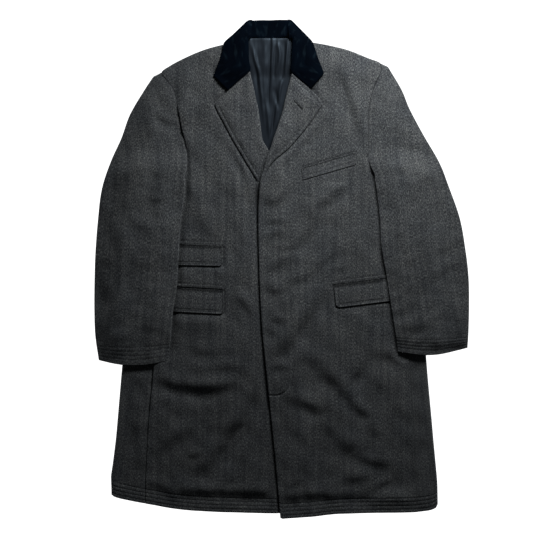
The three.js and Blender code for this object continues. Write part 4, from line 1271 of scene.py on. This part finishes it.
def make_velvet():
    """Nearly black, a little lighter and bluer at random, with pale strokes of painted sheen where the pile is
    brushed over.
    """
    material, nodes, links, shader = new_material(
        "velvet", (0.0008, 0.002, 0.004), 0.9, 0.1, 0.3, (0.1, 0.3, 0.6), 0.02)
    pile = noise(nodes, links, 900, 2.0, 0.7)
    brush = noise(nodes, links, 40, 3.0, 0.6, (1, 0.4, 1))
    sheen_strokes = noise(nodes, links, 80, 2.0, 0.5, (1, 0.45, 1), turn=0.3)
    base = ramp(nodes, links, brush, (0.3, (0.0002, 0.0007, 0.0019)), (0.7, (0.0006, 0.0022, 0.0050)))
    # Painted sheen: pale bluish strokes added to the base colour where the brushed pile would catch the light.
    painted_sheen = ramp(nodes, links, sheen_strokes, (0.54, (0, 0, 0)), (0.76, (0.0035, 0.0065, 0.0085)))
    colour = blended(nodes, links, "ADD", base, painted_sheen)
    finish_cloth(nodes, links, shader, colour, pile, 0.4, 0.0004)
    return material


def make_satin():
    """Dark lining with a bluish shine and fine threads along its length."""
    material, nodes, links, shader = new_material(
        "satin", (0.005, 0.006, 0.008), 0.46, 0.04, 0.4, (0.6, 0.8, 1.0), 0.24)
    shader.inputs["Specular Tint"].default_value = (0.6, 0.8, 1.0, 1.0)
    threads = noise(nodes, links, 500, 2.0, 0.6, (1.0, 0.08, 1))
    colour = ramp(nodes, links, threads, (0.3, (0.0050, 0.0064, 0.0088)), (0.7, (0.0088, 0.0108, 0.0140)))
    finish_cloth(nodes, links, shader, colour, threads, 0.15, 0.0002)
    return material


# The room

PHOTO_SIDE = 533
PHOTO_SCALE = 2.04  # millimetres to a pixel of the photo
PHOTO_CENTRE = (-7.1, 515.1)  # what the middle of the photo shows, in the drawing
CAMERA_HEIGHT = 4.2
COAT_FACE = 0.012  # the height at which the photo's scale holds
SENSOR = 36.0
FLOOR_REACH = 40.0


def make_camera():
    """Looks straight down, so that the coat's face has the photo's scale."""
    data = bpy.data.cameras.new("camera")
    view = PHOTO_SIDE * PHOTO_SCALE * 0.001
    data.sensor_width = SENSOR
    data.sensor_fit = "HORIZONTAL"
    data.lens = SENSOR * (CAMERA_HEIGHT - COAT_FACE) / view
    data.clip_end = 50.0
    camera = bpy.data.objects.new("camera", data)
    x, y, _ = to_row([*PHOTO_CENTRE, 0.0])
    camera.location = (x, y, CAMERA_HEIGHT)
    bpy.context.scene.collection.objects.link(camera)
    bpy.context.scene.camera = camera


def add_light(name, kind, place, aim, energy, receivers):
    """A light that shines from a place to an aim, on the things in one collection."""
    data = bpy.data.lights.new(name, kind)
    data.energy = energy
    light = bpy.data.objects.new(name, data)
    bpy.context.scene.collection.objects.link(light)
    light.location = place
    direction = Vector(aim) - Vector(place)
    light.rotation_euler = direction.to_track_quat("-Z", "Y").to_euler()
    light.light_linking.receiver_collection = receivers
    return light


def make_room():
    """A pale floor under the coat."""
    material, *_ = new_material("pale_floor", (0.93, 0.93, 0.93), 0.9, 0.0, 0.5, (1, 1, 1), 0.1)
    mesh = bpy.data.meshes.new("floor")
    low, high = -FLOOR_REACH, FLOOR_REACH
    mesh.from_pydata([(low, low, 0), (high, low, 0), (high, high, 0), (low, high, 0)], [], [(0, 1, 2, 3)])
    mesh.materials.append(material)
    floor = bpy.data.objects.new("floor", mesh)
    floor.location.z = -0.0005
    bpy.context.scene.collection.objects.link(floor)
    return floor


def make_lights(floor):
    """A soft spot past the collar for the coat, an even light for the floor, and a little from all round."""
    scene = bpy.context.scene
    floor_only = bpy.data.collections.new("floor_only")
    floor_only.objects.link(floor)
    coat_only = bpy.data.collections.new("coat_only")
    for piece in scene.collection.objects:
        if piece.type == "MESH" and piece != floor:
            coat_only.objects.link(piece)
    key = add_light("key", "SPOT", (0.27, 0.90, 0.52), (0.19, 0.03, 0.0), 62.0, coat_only)
    key.data.shadow_soft_size = 0.22
    key.data.spot_size = math.radians(118)
    key.data.spot_blend = 1.0
    add_light("floor_light", "SUN", (0.0, 0.3, 3.0), (0, 0, 0), 4.4, floor_only)
    scene.world = bpy.data.worlds.new("world")
    scene.world.use_nodes = True
    background = scene.world.node_tree.nodes["Background"]
    background.inputs["Color"].default_value = (0.95, 0.97, 1.0, 1)
    background.inputs["Strength"].default_value = 0.04
    scene.view_settings.view_transform = "Standard"


make_camera()
wool = make_wool()
velvet = make_velvet()
satin = make_satin()
make_backs(wool)
make_side_bodies(wool)
make_fronts(wool)
make_sleeves(wool)
make_lapels(wool)
make_collar(velvet)
make_lining(satin)
make_pockets(wool)
make_lights(make_room())
